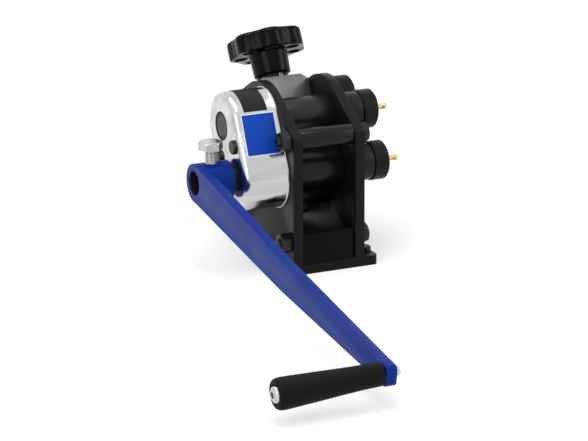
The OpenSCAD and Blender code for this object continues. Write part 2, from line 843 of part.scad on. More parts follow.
module lower_roller() {
    color("#1d1d1d") keyed_sleeve(0);
}

module upper_roller() {
    color("#1d1d1d") keyed_sleeve(centre_distance);
}

module rear_roller() {
    color("#1d1d1d") roller_sleeve(rear_offset, rear_reach, rear_shaft_d + 2 * run_clear);
}

module lower_cap() {
    color("#121212") end_cap(0, 0, shaft_d + 2 * seat_clear);
}

module upper_cap() {
    color("#121212") end_cap(0, centre_distance, shaft_d + 2 * seat_clear);
}

module rear_cap() {
    color("#121212") end_cap(rear_offset, rear_reach, rear_shaft_d + 2 * run_clear);
}

module lower_nipple() {
    nipple(0, 0);
}

module upper_nipple() {
    nipple(0, centre_distance);
}

module rear_nipple() {
    nipple(rear_offset, rear_reach);
}

// Spindle with a stud through the arm and a tapped outer end
module handle_spindle() {
    end_hole = 3 * end_thread_d;
    color("#9a9da0") difference() {
        union() {
            spindle_at(-arm_t - stud_tail) turned_bar(stud_d, arm_t + stud_tail + grip_gap);
            spindle_at(spindle_face()) cylinder(d = spindle_d, h = spindle_len());
        }
        spindle_at(spindle_face() + spindle_len() - end_hole) cylinder(d = end_thread_d + 2 * seat_clear,
            h = end_hole + cut);
    }
}

// The washer stands off the arm so that the drooping spindle clears it
function washer_face() = grip_washer_d / 2 * sin(grip_droop) + seat_clear;
function spindle_face() = grip_gap - seat_clear;
function spindle_len() = grip_len - end_screw_h / 2;

module grip_washer() {
    color("#a5a8aa") spindle_at(washer_face()) difference() {
        cylinder(d = grip_washer_d, h = spindle_face() - washer_face());
        translate([0, 0, -cut]) cylinder(d = stud_d + 2 * seat_clear, h = grip_gap + cut);
    }
}

function grip_radius(share) = grip_inner_d / 2
    + (share - 1) / grip_swell_share * (grip_outer_d - grip_inner_d) / 2;

module handle_grip() {
    start = spindle_face() + hub_gap;
    color("#101010") spindle_at(start) difference() {
        rotate_extrude() polygon(concat([[0, 0]],
            [for (s = grip_shares) [grip_radius(s[1]), s[0] * grip_len]], [[0, grip_len]]));
        translate([0, 0, -cut]) cylinder(d = spindle_d + 2 * run_clear, h = grip_len + 2 * cut);
        translate([0, 0, spindle_len() - 2 * hub_gap]) cylinder(d = end_screw_d + 4 * hub_gap,
            h = end_screw_h);
    }
}

module end_screw() {
    thread = thread_share * end_thread_d;
    color("#b4b7b8") spindle_at(spindle_face() + spindle_len()) difference() {
        union() {
            rotate_extrude() polygon(concat([[0, 0]],
                [for (s = dome_shares) [s[0] * end_screw_d, s[1] * end_screw_h]], [[0, end_screw_h]]));
            translate([0, 0, -thread]) cylinder(d = end_thread_d, h = thread + edge_bevel);
        }
        translate([0, 0, end_screw_h / 3]) linear_extrude(end_screw_h) hexagon(end_socket_af);
    }
}

thrust_top = thrust_reach + thrust_bar_d / 2 - thrust_flat + thrust_play;
thrust_low = thrust_reach - thrust_bar_d / 2 + thrust_flat - thrust_play;
insert_h = hub_h * insert_share;

module adjuster_screw() {
    low = thrust_low - retain_h - retain_tail;
    color("#a9adb0") {
        screw_at(low) turned_bar(journal_d, thrust_top - low + edge_bevel * 2);
        screw_at(thrust_top) turned_bar(screw_d, hub_reach + insert_h - thrust_top);
    }
}

module thrust_collar() {
    color("#303030") screw_at(thrust_top) difference() {
        turned_bar(collar_d, collar_h);
        translate([0, 0, -cut]) cylinder(d = screw_d + 2 * seat_clear, h = collar_h + 2 * cut);
    }
}

module lock_collar() {
    lock_h = hub_standoff - lock_gap;
    color("#181818") screw_at(hub_reach - lock_h) difference() {
        turned_bar(lock_collar_d, lock_h);
        translate([0, 0, -cut]) cylinder(d = screw_d + 2 * seat_clear, h = lock_h + 2 * cut);
    }
}

module retaining_nut() {
    color("#4a4c4e") screw_at(thrust_low - retain_h) difference() {
        hex_head(retain_af, retain_h);
        translate([0, 0, -cut]) cylinder(d = journal_d + 2 * seat_clear, h = retain_h + 2 * cut);
    }
}

module knob_outline() {
    lobe_ring = (knob_d - lobe_d) / 2;
    offset(r = -valley_depth) offset(r = valley_depth) {
        circle(r = knob_d / 2 - valley_depth);
        for (k = [0:knob_lobes - 1]) rotate(k * 360 / knob_lobes) translate([lobe_ring, 0]) circle(d = lobe_d);
    }
}

module knob() {
    rim = knob_d / 2;
    color("#0e0e0e") screw_at(hub_reach) difference() {
        union() {
            translate([0, 0, hub_h]) intersection() {
                linear_extrude(knob_h, $fn = 48) knob_outline();
                rotate_extrude() polygon(concat(
                    [[0, 0], [rim - knob_edge_r / 4, 0], [rim, knob_edge_r / 4]],
                    [for (s = edge_shares) [rim - s[0] * knob_edge_r, knob_h - s[1] * knob_edge_r]],
                    [[0, knob_h]]));
            }
            rotate_extrude() polygon([[0, 0], [hub_low_d / 2 - edge_bevel, 0], [hub_low_d / 2, edge_bevel],
                [hub_top_d / 2, hub_h + cut], [0, hub_h + cut]]);
        }
        for (k = [0:knob_lobes - 1]) rotate(k * 360 / knob_lobes)
            translate([(knob_d - lobe_d) / 2 + pocket_d / 8, 0, hub_h - cut])
                cylinder(d = pocket_d, h = pocket_depth + cut);
        translate([0, 0, -cut]) cylinder(d = insert_d + 2 * seat_clear, h = insert_h + cut);
        translate([0, 0, hub_h + knob_h - plug_t / 2]) cylinder(d = plug_d + 2 * seat_clear, h = plug_t);
    }
}

module knob_insert() {
    color("#2e2e2e") screw_at(hub_reach) difference() {
        cylinder(d = insert_d, h = insert_h);
        translate([0, 0, -cut]) cylinder(d = screw_d + 2 * seat_clear, h = insert_h + 2 * cut);
    }
}

module knob_plug() {
    color("#161616") screw_at(hub_reach + hub_h + knob_h - plug_t / 2) turned_bar(plug_d, plug_t);
}

carriage_from = crest_reach + carriage_stand - carriage_h;
carriage_w = plate_gap - 2 * carriage_gap;
rear_shaft_x = screw_d / 2 + screw_wall;

module carriage() {
    color("#3a3c3e") difference() {
        screw_at(carriage_from) rotate([90, 0, 0]) translate([-carriage_w / 2, 0, -carriage_depth / 2])
            linear_extrude(carriage_depth) polygon([[0, 0], [carriage_w, 0],
                [carriage_w, carriage_h - slope_h], [carriage_w - slope_w, carriage_h],
                [slope_w, carriage_h], [0, carriage_h - slope_h]]);
        screw_at(carriage_from - cut) cylinder(d = screw_d + 2 * run_clear, h = carriage_h + 2 * cut);
        row_at(rear_offset, rear_reach, rear_shaft_x) cylinder(d = rear_shaft_d + 2 * seat_clear, h = carriage_w);
    }
}

module carriage_guides() {
    guide_w = slot_w - 4 * run_clear;
    color("#55585a") difference() {
        for (x = [-outer_x + carriage_gap, carriage_w / 2]) row_at(rear_offset, rear_reach, x)
            translate([-guide_w / 2, -guide_h / 2, 0]) linear_extrude(outer_x - carriage_w / 2 - carriage_gap)
                rounded_rect(guide_w, guide_h, slot_corner_r);
        row_at(rear_offset, rear_reach, 0) cylinder(d = rear_shaft_d + 2 * seat_clear, h = outer_x + cut);
    }
}

module rear_shaft() {
    color("#8d9092") row_at(rear_offset, rear_reach, rear_shaft_x)
        turned_bar(rear_shaft_d, shaft_end_x - rear_shaft_x);
}

base_plate();
base_screws();
levelling_screws();
left_plate();
right_plate();
front_web();
tie_bolts();
tie_nuts();
tie_spacers();
lower_housing();
upper_housing();
bushes();
gear_cover();
cover_bolts();
thrust_bar();
crank_arm();
crank_boss();
set_bolt();
lower_shaft();
lower_keys();
drive_gear();
lower_roller();
lower_cap();
lower_nipple();
handle_spindle();
grip_washer();
end_screw();
handle_grip();
upper_shaft();
upper_keys();
driven_gear();
upper_roller();
upper_cap();
upper_nipple();
adjuster_screw();
thrust_collar();
retaining_nut();
lock_collar();
knob();
knob_insert();
knob_plug();
carriage();
carriage_guides();
rear_shaft();
rear_roller();
rear_cap();
rear_nipple();
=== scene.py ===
"""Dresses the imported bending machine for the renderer: finishes, detailed pieces, studio and camera.

Lengths in the sub-assemblies are millimetres and turn into metres when a piece is made. X runs
across the machine, Y to the rear and Z up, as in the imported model.
"""

import json
import logging
import math
from dataclasses import dataclass, field
from enum import Enum
from functools import lru_cache
from typing import Any, Callable, Iterable, NamedTuple, Sequence

import bmesh
import bpy
from mathutils import Matrix, Vector


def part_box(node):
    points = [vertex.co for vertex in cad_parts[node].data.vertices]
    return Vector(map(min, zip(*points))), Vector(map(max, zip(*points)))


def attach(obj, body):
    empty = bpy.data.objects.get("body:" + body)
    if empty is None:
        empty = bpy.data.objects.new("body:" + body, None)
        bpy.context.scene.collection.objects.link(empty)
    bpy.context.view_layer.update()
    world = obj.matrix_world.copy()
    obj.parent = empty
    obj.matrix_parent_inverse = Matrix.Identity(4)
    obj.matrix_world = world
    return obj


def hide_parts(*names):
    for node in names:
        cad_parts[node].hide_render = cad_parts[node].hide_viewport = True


log = logging.getLogger("bending_machine")
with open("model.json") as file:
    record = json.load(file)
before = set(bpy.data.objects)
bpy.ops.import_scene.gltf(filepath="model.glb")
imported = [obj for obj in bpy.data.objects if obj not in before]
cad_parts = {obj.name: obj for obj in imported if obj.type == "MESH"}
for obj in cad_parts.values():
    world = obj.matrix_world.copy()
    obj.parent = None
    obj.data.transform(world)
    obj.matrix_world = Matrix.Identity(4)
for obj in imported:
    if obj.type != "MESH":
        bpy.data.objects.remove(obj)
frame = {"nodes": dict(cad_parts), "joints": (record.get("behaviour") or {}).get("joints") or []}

# Metres in a millimetre
MM = 0.001
# Octaves of a finish's fine grain and of its mottle
GRAIN_DETAIL = 3.0
MOTTLE_DETAIL = 4.0
# Sums of grain and mottle at which the roughness reaches its low and its high end
SMOOTH_SUM = 0.6
ROUGH_SUM = 1.4
# Least roughness that a finish may reach
LEAST_ROUGHNESS = 0.03
# Radians that the wave texture turns over one unit of length at scale 1
WAVE_RATE = 20.0

Point = tuple[float, float]
Profile = Sequence[Point]
Triple = tuple[float, float, float]
Colour = tuple[float, float, float, float]
Vertex = bmesh.types.BMVert


class Body(str, Enum):
    """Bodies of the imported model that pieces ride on."""

    FRAME = "frame"
    CRANK = "crank"
    GRIP = "grip"
    UPPER = "upper_spindle"
    ADJUSTER = "adjuster"
    CARRIAGE = "carriage"
    REAR = "rear_roller"


class Slot(str, Enum):
    """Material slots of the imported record."""

    PAINT = "black_paint"
    BLACK_STEEL = "black_steel"
    DARK_STEEL = "dark_steel"
    STEEL = "machined_steel"
    CHROME = "cover_chrome"
    ZINC = "zinc"
    BRASS = "brass"
    BRONZE = "bronze"
    ENAMEL = "blue_paint"
    RUBBER = "grip_rubber"
    PLASTIC = "knob_plastic"


# ---------------------------------------------------------------- finishes


def linear(hex_colour: str) -> Colour:
    """Turns an sRGB hex value into linear light.

    Args:
        hex_colour: six hex digits after a hash.

    Returns:
        Linear red, green, blue and a full alpha.
    """
    parts = [int(hex_colour[i : i + 2], 16) / 255 for i in (1, 3, 5)]
    return (*(c / 12.92 if c <= 0.04045 else ((c + 0.055) / 1.055) ** 2.4 for c in parts), 1.0)


def add(tree: bpy.types.NodeTree, kind: str, inputs: dict | None = None, **settings: Any) -> bpy.types.Node:
    """Adds a node with its settings, values and links.

    Args:
        tree: node tree that receives the node.
        kind: type name of the node.
        inputs: values or output sockets by input name or index.
        settings: properties of the node.

    Returns:
        The new node.
    """
    node = tree.nodes.new(kind)
    for key, value in settings.items():
        setattr(node, key, value)
    for key, value in (inputs or {}).items():
        if isinstance(value, bpy.types.NodeSocket):
            tree.links.new(value, node.inputs[key])
        else:
            node.inputs[key].default_value = value
    return node


@dataclass(frozen=True)
class Finish:
    """A surface with two mottled tones, a bump and a roughness that varies.

    The sizes of both patterns are real sizes in millimetres. The marks on drawn, turned, milled, ground
    and polished metal are too fine to show, so their grain is drawn as coarse as it needs to show. The
    stretches lengthen a pattern along an axis, as brushing and turning do; on the chrome the mottle's
    stretch draws its two tones into painted reflection bands. ior is for all but metals, which keep the
    shader's own.
    """

    name: str
    slot: Slot
    tone: str
    second_tone: str
    roughness: float
    roughness_spread: float = 0.08
    metallic: float = 0.0
    ior: float = 1.5
    grain_mm: float = 1.0
    grain_depth_mm: float = 0.02
    mottle_mm: float = 25.0
    mottle_stretch: Triple = (1.0, 1.0, 1.0)
    stretch: Triple = (1.0, 1.0, 1.0)
    specular: float = 0.5

    def grain(self, tree: bpy.types.NodeTree, place: bpy.types.NodeSocket) -> bpy.types.NodeSocket:
        """Adds the fine height pattern at its real size.

        Args:
            tree: the material's node tree.
            place: the place on the piece, in metres.

        Returns:
            The pattern's height, 0 to 1.
        """
        drawn = add(tree, "ShaderNodeMapping", {"Vector": place, "Scale": self.stretch}).outputs[0]
        scale = 1 / (self.grain_mm * MM)
        noise = add(tree, "ShaderNodeTexNoise", {"Vector": drawn, "Scale": scale, "Detail": GRAIN_DETAIL})
        return noise.outputs["Fac"]

    @lru_cache(maxsize=None)
    def material(self) -> bpy.types.Material:
        """Builds the material once.

        Returns:
            The material, the same one at each call.
        """
        made = bpy.data.materials.new(self.name)
        made.use_nodes = True
        tree = made.node_tree
        tree.nodes.clear()
        place = add(tree, "ShaderNodeTexCoord").outputs["Object"]
        height = self.grain(tree, place)
        clouds = add(tree, "ShaderNodeMapping", {"Vector": place, "Scale": self.mottle_stretch}).outputs[0]
        scale = 1 / (self.mottle_mm * MM)
        cloud = add(tree, "ShaderNodeTexNoise", {"Vector": clouds, "Scale": scale, "Detail": MOTTLE_DETAIL})
        mottle = cloud.outputs["Fac"]
        tones = {"Factor": mottle, "A": linear(self.tone), "B": linear(self.second_tone)}
        colour = add(tree, "ShaderNodeMix", tones, data_type="RGBA")
        both = add(tree, "ShaderNodeMath", {0: height, 1: mottle}, operation="ADD").outputs[0]
        low, high = self.roughness - self.roughness_spread, self.roughness + self.roughness_spread
        rough = add(
            tree, "ShaderNodeMapRange",
            {"Value": both, "From Min": SMOOTH_SUM, "From Max": ROUGH_SUM,
             "To Min": max(low, LEAST_ROUGHNESS), "To Max": high},
        )
        depth = self.grain_depth_mm * MM
        bump = add(tree, "ShaderNodeBump", {"Height": height, "Distance": depth, "Strength": 1.0})
        shader = add(
            tree,
            "ShaderNodeBsdfPrincipled",
            {
                "Base Color": colour.outputs["Result"],
                "Roughness": rough.outputs[0],
                "Normal": bump.outputs[0],
                "Metallic": self.metallic,
                "Specular IOR Level": self.specular,
            },
        )
        if not self.metallic:
            shader.inputs["IOR"].default_value = self.ior
        add(tree, "ShaderNodeOutputMaterial", {"Surface": shader.outputs[0]})
        return made


@dataclass(frozen=True)
class TurnedFinish(Finish):
    """Lathe-turned metal: rings round an axis along X through a point, given in millimetres.

    The rings are coarser than real turning marks, so that they show as soft bands from afar.
    """

    axis_depth: float = 0.0
    axis_height: float = 0.0
    ring_mm: float = 7.54
    unevenness: float = 1.5
    detail: float = 2.0

    def grain(self, tree: bpy.types.NodeTree, place: bpy.types.NodeSocket) -> bpy.types.NodeSocket:
        """Adds rings round the axis, ring_mm from one to the next.

        Args:
            tree: the material's node tree.
            place: the place on the piece, in metres.

        Returns:
            The rings' height, 0 to 1.
        """
        middle = (0.0, -self.axis_depth * MM, -self.axis_height * MM)
        centred = add(tree, "ShaderNodeMapping", {"Vector": place, "Location": middle}).outputs[0]
        scale = 2 * math.pi / (self.ring_mm * MM * WAVE_RATE)
        rings = add(
            tree, "ShaderNodeTexWave",
            {"Vector": centred, "Scale": scale, "Distortion": self.unevenness, "Detail": self.detail},
            wave_type="RINGS", rings_direction="X",
        )
        return rings.outputs["Fac"]


# Powder coat on steel: fine orange peel that softens the lamps into broad dark sheens
POWDER_COAT = Finish(
    "powder_coat_black", Slot.PAINT, "#0d0d0d", "#141414", 0.4, 0.07, grain_mm=1.4, grain_depth_mm=0.035,
    specular=0.12,
)
# The same coat on the web, painted darker and duller as shade for the shade that falls between the side
# plates
SHADED_WEB_COAT = Finish(
    "powder_coat_corner", Slot.PAINT, "#070707", "#0b0b0b", 0.5, 0.07, grain_mm=1.4, grain_depth_mm=0.035,
    specular=0.06,
)
# Blackened steel bars and housings: a little more gloss, drawn lines along X
BLACKENED_BAR = Finish(
    "blackened_drawn_bar", Slot.BLACK_STEEL, "#0c0c0c", "#131313", 0.26, 0.07, grain_mm=0.9,
    grain_depth_mm=0.008, stretch=(0.08, 1.0, 1.0), specular=0.2,
)
# Black oxide on screws and nuts: thin and oily, with small soft glints on the flats
BLACK_OXIDE = Finish(
    "black_oxide_steel", Slot.BLACK_STEEL, "#0e0e0e", "#191919", 0.32, 0.1, mottle_mm=6, grain_mm=0.7,
    grain_depth_mm=0.01, specular=0.3,
)
# Milled and blued block: dark steel with a wide satin sheen
BLUED_BLOCK = Finish(
    "blued_milled_block", Slot.DARK_STEEL, "#6a6a6b", "#7a7a7b", 0.42, 0.08, metallic=0.8, mottle_mm=14,
    grain_mm=0.8, grain_depth_mm=0.012, stretch=(0.1, 1.0, 1.0),
)
# Quenched tool rollers: black with a faint brown bloom from the oil
HARDENED_ROLLER = Finish(
    "quenched_roller_steel", Slot.BLACK_STEEL, "#0f0e0d", "#181613", 0.34, 0.1, mottle_mm=9, grain_mm=0.6,
    grain_depth_mm=0.01, specular=0.18,
)
# Turned caps: black oxide with faint lathe marks
TURNED_CAP = Finish(
    "turned_black_cap", Slot.BLACK_STEEL, "#0b0b0b", "#121212", 0.36, 0.08, mottle_mm=12, grain_mm=0.8,
    grain_depth_mm=0.012, stretch=(1.0, 0.15, 0.15), specular=0.13,
)
# Polished sheet, chromed: a mirror softened by polishing lines, its pale and grey tones stretched along X
# into painted reflection bands
CHROME_SHEET_PAINTED_BANDS = Finish(
    "polished_chrome_sheet", Slot.CHROME, "#f0f0f0", "#9a9b9d", 0.17, 0.05, metallic=1.0, mottle_mm=13,
    grain_mm=0.6, grain_depth_mm=0.005, stretch=(0.06, 1.0, 1.0), mottle_stretch=(0.12, 1.0, 1.0),
)
# End of the upper shaft in the gear's nose: mid grey with turning rings
TURNED_END = TurnedFinish(
    "turned_shaft_end", Slot.STEEL, "#353537", "#424244", 0.44, 0.08, metallic=0.25, specular=0.25,
    grain_depth_mm=0.01, axis_depth=-6.6, axis_height=143.7,
)
# Bright zinc on the set bolt and grip screw: pale, soft, faintly clouded
BRIGHT_ZINC = Finish(
    "bright_zinc_plate", Slot.ZINC, "#d2d2cd", "#bcbcb8", 0.24, 0.06, metallic=1.0, mottle_mm=5,
    grain_mm=0.5, grain_depth_mm=0.003,
)
# Ground shafting: bright with lines round the bar
GROUND_STEEL = Finish(
    "ground_shaft_steel", Slot.STEEL, "#9fa1a3", "#8a8d90", 0.26, 0.07, metallic=1.0, grain_mm=0.5,
    grain_depth_mm=0.005, stretch=(1.0, 0.1, 0.1),
)
# Bare steel in the crank's bore and on the lower shaft, painted brown and nearly black as shade for the shade
# inside the arm's eye and in the gap by the cover
SHADED_BORE_STEEL = Finish(
    "oiled_bore_steel", Slot.STEEL, "#2a231d", "#1b1714", 0.4, 0.1, metallic=0.5, mottle_mm=3, grain_mm=0.8,
    grain_depth_mm=0.02, stretch=(0.2, 1.0, 1.0),
)
# Greased screw thread: dark oily steel with bright crests
OILED_SCREW = Finish(
    "oiled_screw_steel", Slot.STEEL, "#3c3d40", "#77797c", 0.3, 0.1, metallic=1.0, mottle_mm=4,
    grain_mm=0.6, grain_depth_mm=0.008,
)
# Milled gear steel under the cover
MILLED_STEEL = Finish(
    "milled_gear_steel", Slot.DARK_STEEL, "#4d5054", "#616468", 0.34, 0.08, metallic=0.9, grain_mm=0.6,
    grain_depth_mm=0.008,
)
# Turned brass nipples
TURNED_BRASS = Finish(
    "turned_brass", Slot.BRASS, "#d9bd90", "#c4a274", 0.38, 0.07, metallic=1.0, mottle_mm=3, grain_mm=0.5,
    grain_depth_mm=0.006,
)
# Sintered bearing bronze
BEARING_BRONZE = Finish(
    "bearing_bronze", Slot.BRONZE, "#a9834c", "#8f6c3c", 0.36, 0.08, metallic=1.0, grain_mm=0.5,
    grain_depth_mm=0.01,
)
# Blue powder coat: slow ripples from the flow of the coat, satin to glossy
BLUE_COAT = Finish(
    "powder_coat_blue", Slot.ENAMEL, "#0c2f86", "#092778", 0.36, 0.07, grain_mm=3.0, grain_depth_mm=0.03,
    mottle_mm=40, specular=0.07,
)
# Moulded rubber grip: matte, fine spark-eroded texture
GRIP_RUBBER = Finish(
    "moulded_rubber", Slot.RUBBER, "#090909", "#0e0e0e", 0.58, 0.08, grain_mm=0.8, grain_depth_mm=0.05,
    mottle_mm=15, specular=0.1,
)
# Moulded phenolic: deep black gloss with slight waves from the mould
PHENOLIC = Finish(
    "moulded_phenolic", Slot.PLASTIC, "#020202", "#040404", 0.18, 0.05, grain_mm=6.0, grain_depth_mm=0.008,
    mottle_mm=20, specular=0.09,
)
# Printed vinyl stuck on the cover, a thin satin film: its black band, and its label's border and ground
BLACK_VINYL = Finish(
    "black_vinyl_film", Slot.PAINT, "#0c0c0c", "#121212", 0.4, 0.05, grain_mm=1.5, grain_depth_mm=0.006,
    specular=0.2,
)
WHITE_VINYL = Finish(
    "white_vinyl_film", Slot.PAINT, "#e9eaec", "#dfe1e4", 0.36, 0.05, grain_mm=1.5, grain_depth_mm=0.006,
    specular=0.3,
)
BLUE_VINYL = Finish(
    "blue_vinyl_film", Slot.ENAMEL, "#0540a8", "#053a9c", 0.34, 0.05, grain_mm=1.5, grain_depth_mm=0.006,
    specular=0.15,
)


# ---------------------------------------------------------------- mesh work

# Degrees above which an edge stays crisp
CRISP = 34.0
# Radius in millimetres up to which a ring is one point on the axis, and two points are the same
POLE = 1e-6
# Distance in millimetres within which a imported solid's points are merged
MERGE = 0.004


@dataclass(frozen=True)
class Layout:
    """Axes of the machine, in millimetres and degrees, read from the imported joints."""

    tilt: float
    lower: Vector
    screw: Vector
    grip: Vector
    grip_axis: Vector

    @classmethod
    def read(cls, joints: Iterable[dict]) -> "Layout":
        """Builds the layout.

        Args:
            joints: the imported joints.

        Returns:
            The layout with its axes in millimetres.
        """
        by_name = {j["name"]: j for j in joints}
        at = {name: Vector(j["pos_m"]) / MM for name, j in by_name.items() if "pos_m" in j}
        lean = Vector(by_name["knob_turn"]["axis"])
        return cls(
            tilt=math.degrees(math.atan2(lean.y, lean.z)),
            lower=at["crank_turn"],
            screw=at["knob_turn"],
            grip=at["grip_turn"],
            grip_axis=Vector(by_name["grip_turn"]["axis"]),
        )

    @property
    def along(self) -> Vector:
        """Direction of the roller row and of the screw."""
        return Vector((0.0, math.sin(math.radians(self.tilt)), math.cos(math.radians(self.tilt))))

    @property
    def rearward(self) -> Vector:
        """Direction square to the roller row, to the rear."""
        return Vector((0.0, math.cos(math.radians(self.tilt)), -math.sin(math.radians(self.tilt))))

    def rightward(self, x: float, y: float, z: float) -> Matrix:
        """Frame at a point, local X to the rear, Y along the roller row and Z to the right."""
        return axes(Vector((x, y, z)), self.rearward, self.along, Vector((1.0, 0.0, 0.0)))

    def leftward(self, x: float) -> Matrix:
        """Frame on the lower axle, local X to the front, Y along the roller row and Z to the left."""
        origin = Vector((x, self.lower.y, self.lower.z))
        return axes(origin, -self.rearward, self.along, Vector((-1.0, 0.0, 0.0)))

    def on_screw(self, n: float) -> Matrix:
        """Frame on the screw's axis at a reach counted from the lower axle's level."""
        foot = self.screw + self.along * (n - (self.screw - self.lower).dot(self.along))
        return axes(Vector((0.0, foot.y, foot.z)), Vector((1.0, 0.0, 0.0)), self.rearward, self.along)

    def on_spindle(self, z: float) -> Matrix:
        """Frame on the grip's axis.

        Args:
            z: distance from the arm's outer face.

        Returns:
            The frame, its local Z away from the arm.
        """
        ahead = self.grip_axis.normalized()
        side = Vector((0.0, 1.0, 0.0))
        return axes(self.grip + ahead * z, side.cross(ahead).normalized(), side, ahead)


def axes(origin: Vector, x: Vector, y: Vector, z: Vector) -> Matrix:
    """Makes a frame.

    Args:
        origin: its place.
        x: direction of its local X.
        y: direction of its local Y.
        z: direction of its local Z.

    Returns:
        The matrix with these axes as columns.
    """
    made = Matrix((x, y, z)).transposed().to_4x4()
    made.translation = origin
    return made


LAYOUT = Layout.read(frame["joints"])


def turns(steps: int) -> list[float]:
    """Returns equal angles once round, in radians."""
    return [2 * math.pi * k / steps for k in range(steps)]


def arc(centre: Point, radius: float, start: float, end: float, steps: int = 8) -> list[Point]:
    """Returns points of an arc, angles in degrees, as profile points."""
    angles = [math.radians(start + (end - start) * i / steps) for i in range(steps + 1)]
    return [(centre[0] + radius * math.cos(a), centre[1] + radius * math.sin(a)) for a in angles]


class Form:
    """A mesh in the making, in millimetres."""

    def __init__(self) -> None:
        """Starts empty."""
        self.bm = bmesh.new()

    @classmethod
    def turned(cls, profile: Profile, sides: int = 96) -> "Form":
        """Turns a profile round local Z.

        Args:
            profile: radius and height pairs from the lower pole to the upper one.
            sides: number of steps round the axis.

        Returns:
            A closed form when the profile starts and ends on the axis.
        """
        form = cls()
        form.skinned([form.ring(radius, z, sides) for radius, z in profile])
        form.faced()
        return form

    @classmethod
    def copied(cls, node: str, flat: float = 1.0) -> "Form":
        """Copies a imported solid, merged, with its flat faces joined.

        Args:
            node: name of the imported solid.
            flat: angle in degrees up to which triangles join into one face.

        Returns:
            The copy in millimetres.
        """
        form = cls()
        form.bm.from_mesh(frame["nodes"][node].data)
        bmesh.ops.transform(form.bm, matrix=Matrix.Scale(1 / MM, 4), verts=form.bm.verts)
        bmesh.ops.remove_doubles(form.bm, verts=form.bm.verts, dist=MERGE)
        bmesh.ops.dissolve_limit(
            form.bm, angle_limit=math.radians(flat), verts=form.bm.verts, edges=form.bm.edges,
            use_dissolve_boundaries=False,
        )
        form.bm.normal_update()
        return form

    def ring(self, radius: float, z: float, sides: int, centre: Point = (0.0, 0.0)) -> list[Vertex]:
        """Adds a level ring of vertices.

        Args:
            radius: its radius, 0 for a single vertex at its middle.
            z: its height.
            sides: number of its vertices.
            centre: its middle.

        Returns:
            The ring's vertices.
        """
        x, y = centre
        if radius <= POLE:
            return [self.bm.verts.new((x, y, z))]
        spots = [(x + radius * math.cos(a), y + radius * math.sin(a), z) for a in turns(sides)]
        return [self.bm.verts.new(spot) for spot in spots]

    def skinned(self, rings: Sequence[Sequence[Vertex]]) -> None:
        """Closes the bands between rings.

        Args:
            rings: rings of as many vertices each, or of one at a pole.
        """
        for low, high in zip(rings, rings[1:]):
            count = max(len(low), len(high))
            for k in range(count):
                j = (k + 1) % count
                corners = [low[k % len(low)], low[j % len(low)], high[j % len(high)], high[k % len(high)]]
                unique = [v for i, v in enumerate(corners) if v not in corners[:i]]
                if len(unique) > 2:
                    self.bm.faces.new(unique)

    def filled(self, *loops: Sequence[Vertex]) -> None:
        """Closes the flat area between closed chains of vertices.

        Args:
            loops: the area's border and the borders of its holes.
        """
        edges = []
        for chain in loops:
            for k, vert in enumerate(chain):
                pair = (vert, chain[(k + 1) % len(chain)])
                edges.append(self.bm.edges.get(pair) or self.bm.edges.new(pair))
        bmesh.ops.triangle_fill(self.bm, edges=edges, use_beauty=True)

    def faced(self) -> None:
        """Turns all faces outwards."""
        bmesh.ops.recalc_face_normals(self.bm, faces=self.bm.faces)

    def placed(self, matrix: Matrix) -> "Form":
        """Moves the form.

        Args:
            matrix: the frame that it moves to, in millimetres.

        Returns:
            This form.
        """
        bmesh.ops.transform(self.bm, matrix=matrix, verts=self.bm.verts)
        return self

    def joined(self, *others: "Form") -> "Form":
        """Adds other forms to this one.

        Args:
            others: the forms that are added.

        Returns:
            This form.
        """
        for other in others:
            mesh = bpy.data.meshes.new("part")
            other.bm.to_mesh(mesh)
            self.bm.from_mesh(mesh)
            bpy.data.meshes.remove(mesh)
        return self

    def object(self, name: str) -> bpy.types.Object:
        """Turns the form into an object in metres, at the origin.

        Args:
            name: name of the object and its mesh.

        Returns:
            The object.
        """
        bmesh.ops.transform(self.bm, matrix=Matrix.Scale(MM, 4), verts=self.bm.verts)
        mesh = bpy.data.meshes.new(name)
        self.bm.to_mesh(mesh)
        self.bm.free()
        made = bpy.data.objects.new(name, mesh)
        bpy.context.scene.collection.objects.link(made)
        return made


def baked(obj: bpy.types.Object) -> bpy.types.Object:
    """Replaces an object's mesh by its evaluated one and removes its modifiers.

    Args:
        obj: object with live modifiers.

    Returns:
        The same object with a plain mesh.
    """
    bpy.context.view_layer.update()
    graph = bpy.context.evaluated_depsgraph_get()
    shown = obj.evaluated_get(graph)
    mesh = bpy.data.meshes.new_from_object(shown, preserve_all_data_layers=True, depsgraph=graph)
    obj.modifiers.clear()
    obj.data = mesh
    mesh.name = obj.name
    return obj


def handed(obj: bpy.types.Object, body: Body, replaces: Sequence[str]) -> bpy.types.Object:
    """Hands a finished mesh over to the machine's model.

    Args:
        obj: the piece.
        body: the body that it rides on.
        replaces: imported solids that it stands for.

    Returns:
        The same object.
    """
    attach(obj, body.value)
    if replaces:
        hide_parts(*replaces)
    return obj


def piece(
    form: Form, name: str, finish: Finish, body: Body, replaces: Sequence[str] = (), edge: float = 0.0,
    smooth: float = CRISP, steps: int = 3,
) -> bpy.types.Object:
    """Finishes a form as a piece of the machine.

    Args:
        form: the mesh in millimetres.
        name: name of the piece.
        finish: its surface.
        body: the body that it rides on.
        replaces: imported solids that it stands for.
        edge: radius of its rounded edges in millimetres, 0 for none.
        smooth: angle in degrees above which an edge stays crisp.
        steps: faces across a rounded edge.

    Returns:
        The finished object.
    """
    obj = form.object(name)
    obj.data.polygons.foreach_set("use_smooth", [True] * len(obj.data.polygons))
    if edge:
        rounding = obj.modifiers.new("edges", "BEVEL")
        rounding.width = edge * MM
        rounding.segments = steps
        rounding.limit_method = "ANGLE"
        rounding.angle_limit = math.radians(smooth)
        rounding.use_clamp_overlap = True
        rounding.harden_normals = True
        baked(obj)
    obj.data.set_sharp_from_angle(angle=math.radians(smooth))
    obj.data.materials.clear()
    obj.data.materials.append(finish.material())
    return handed(obj, body, replaces)


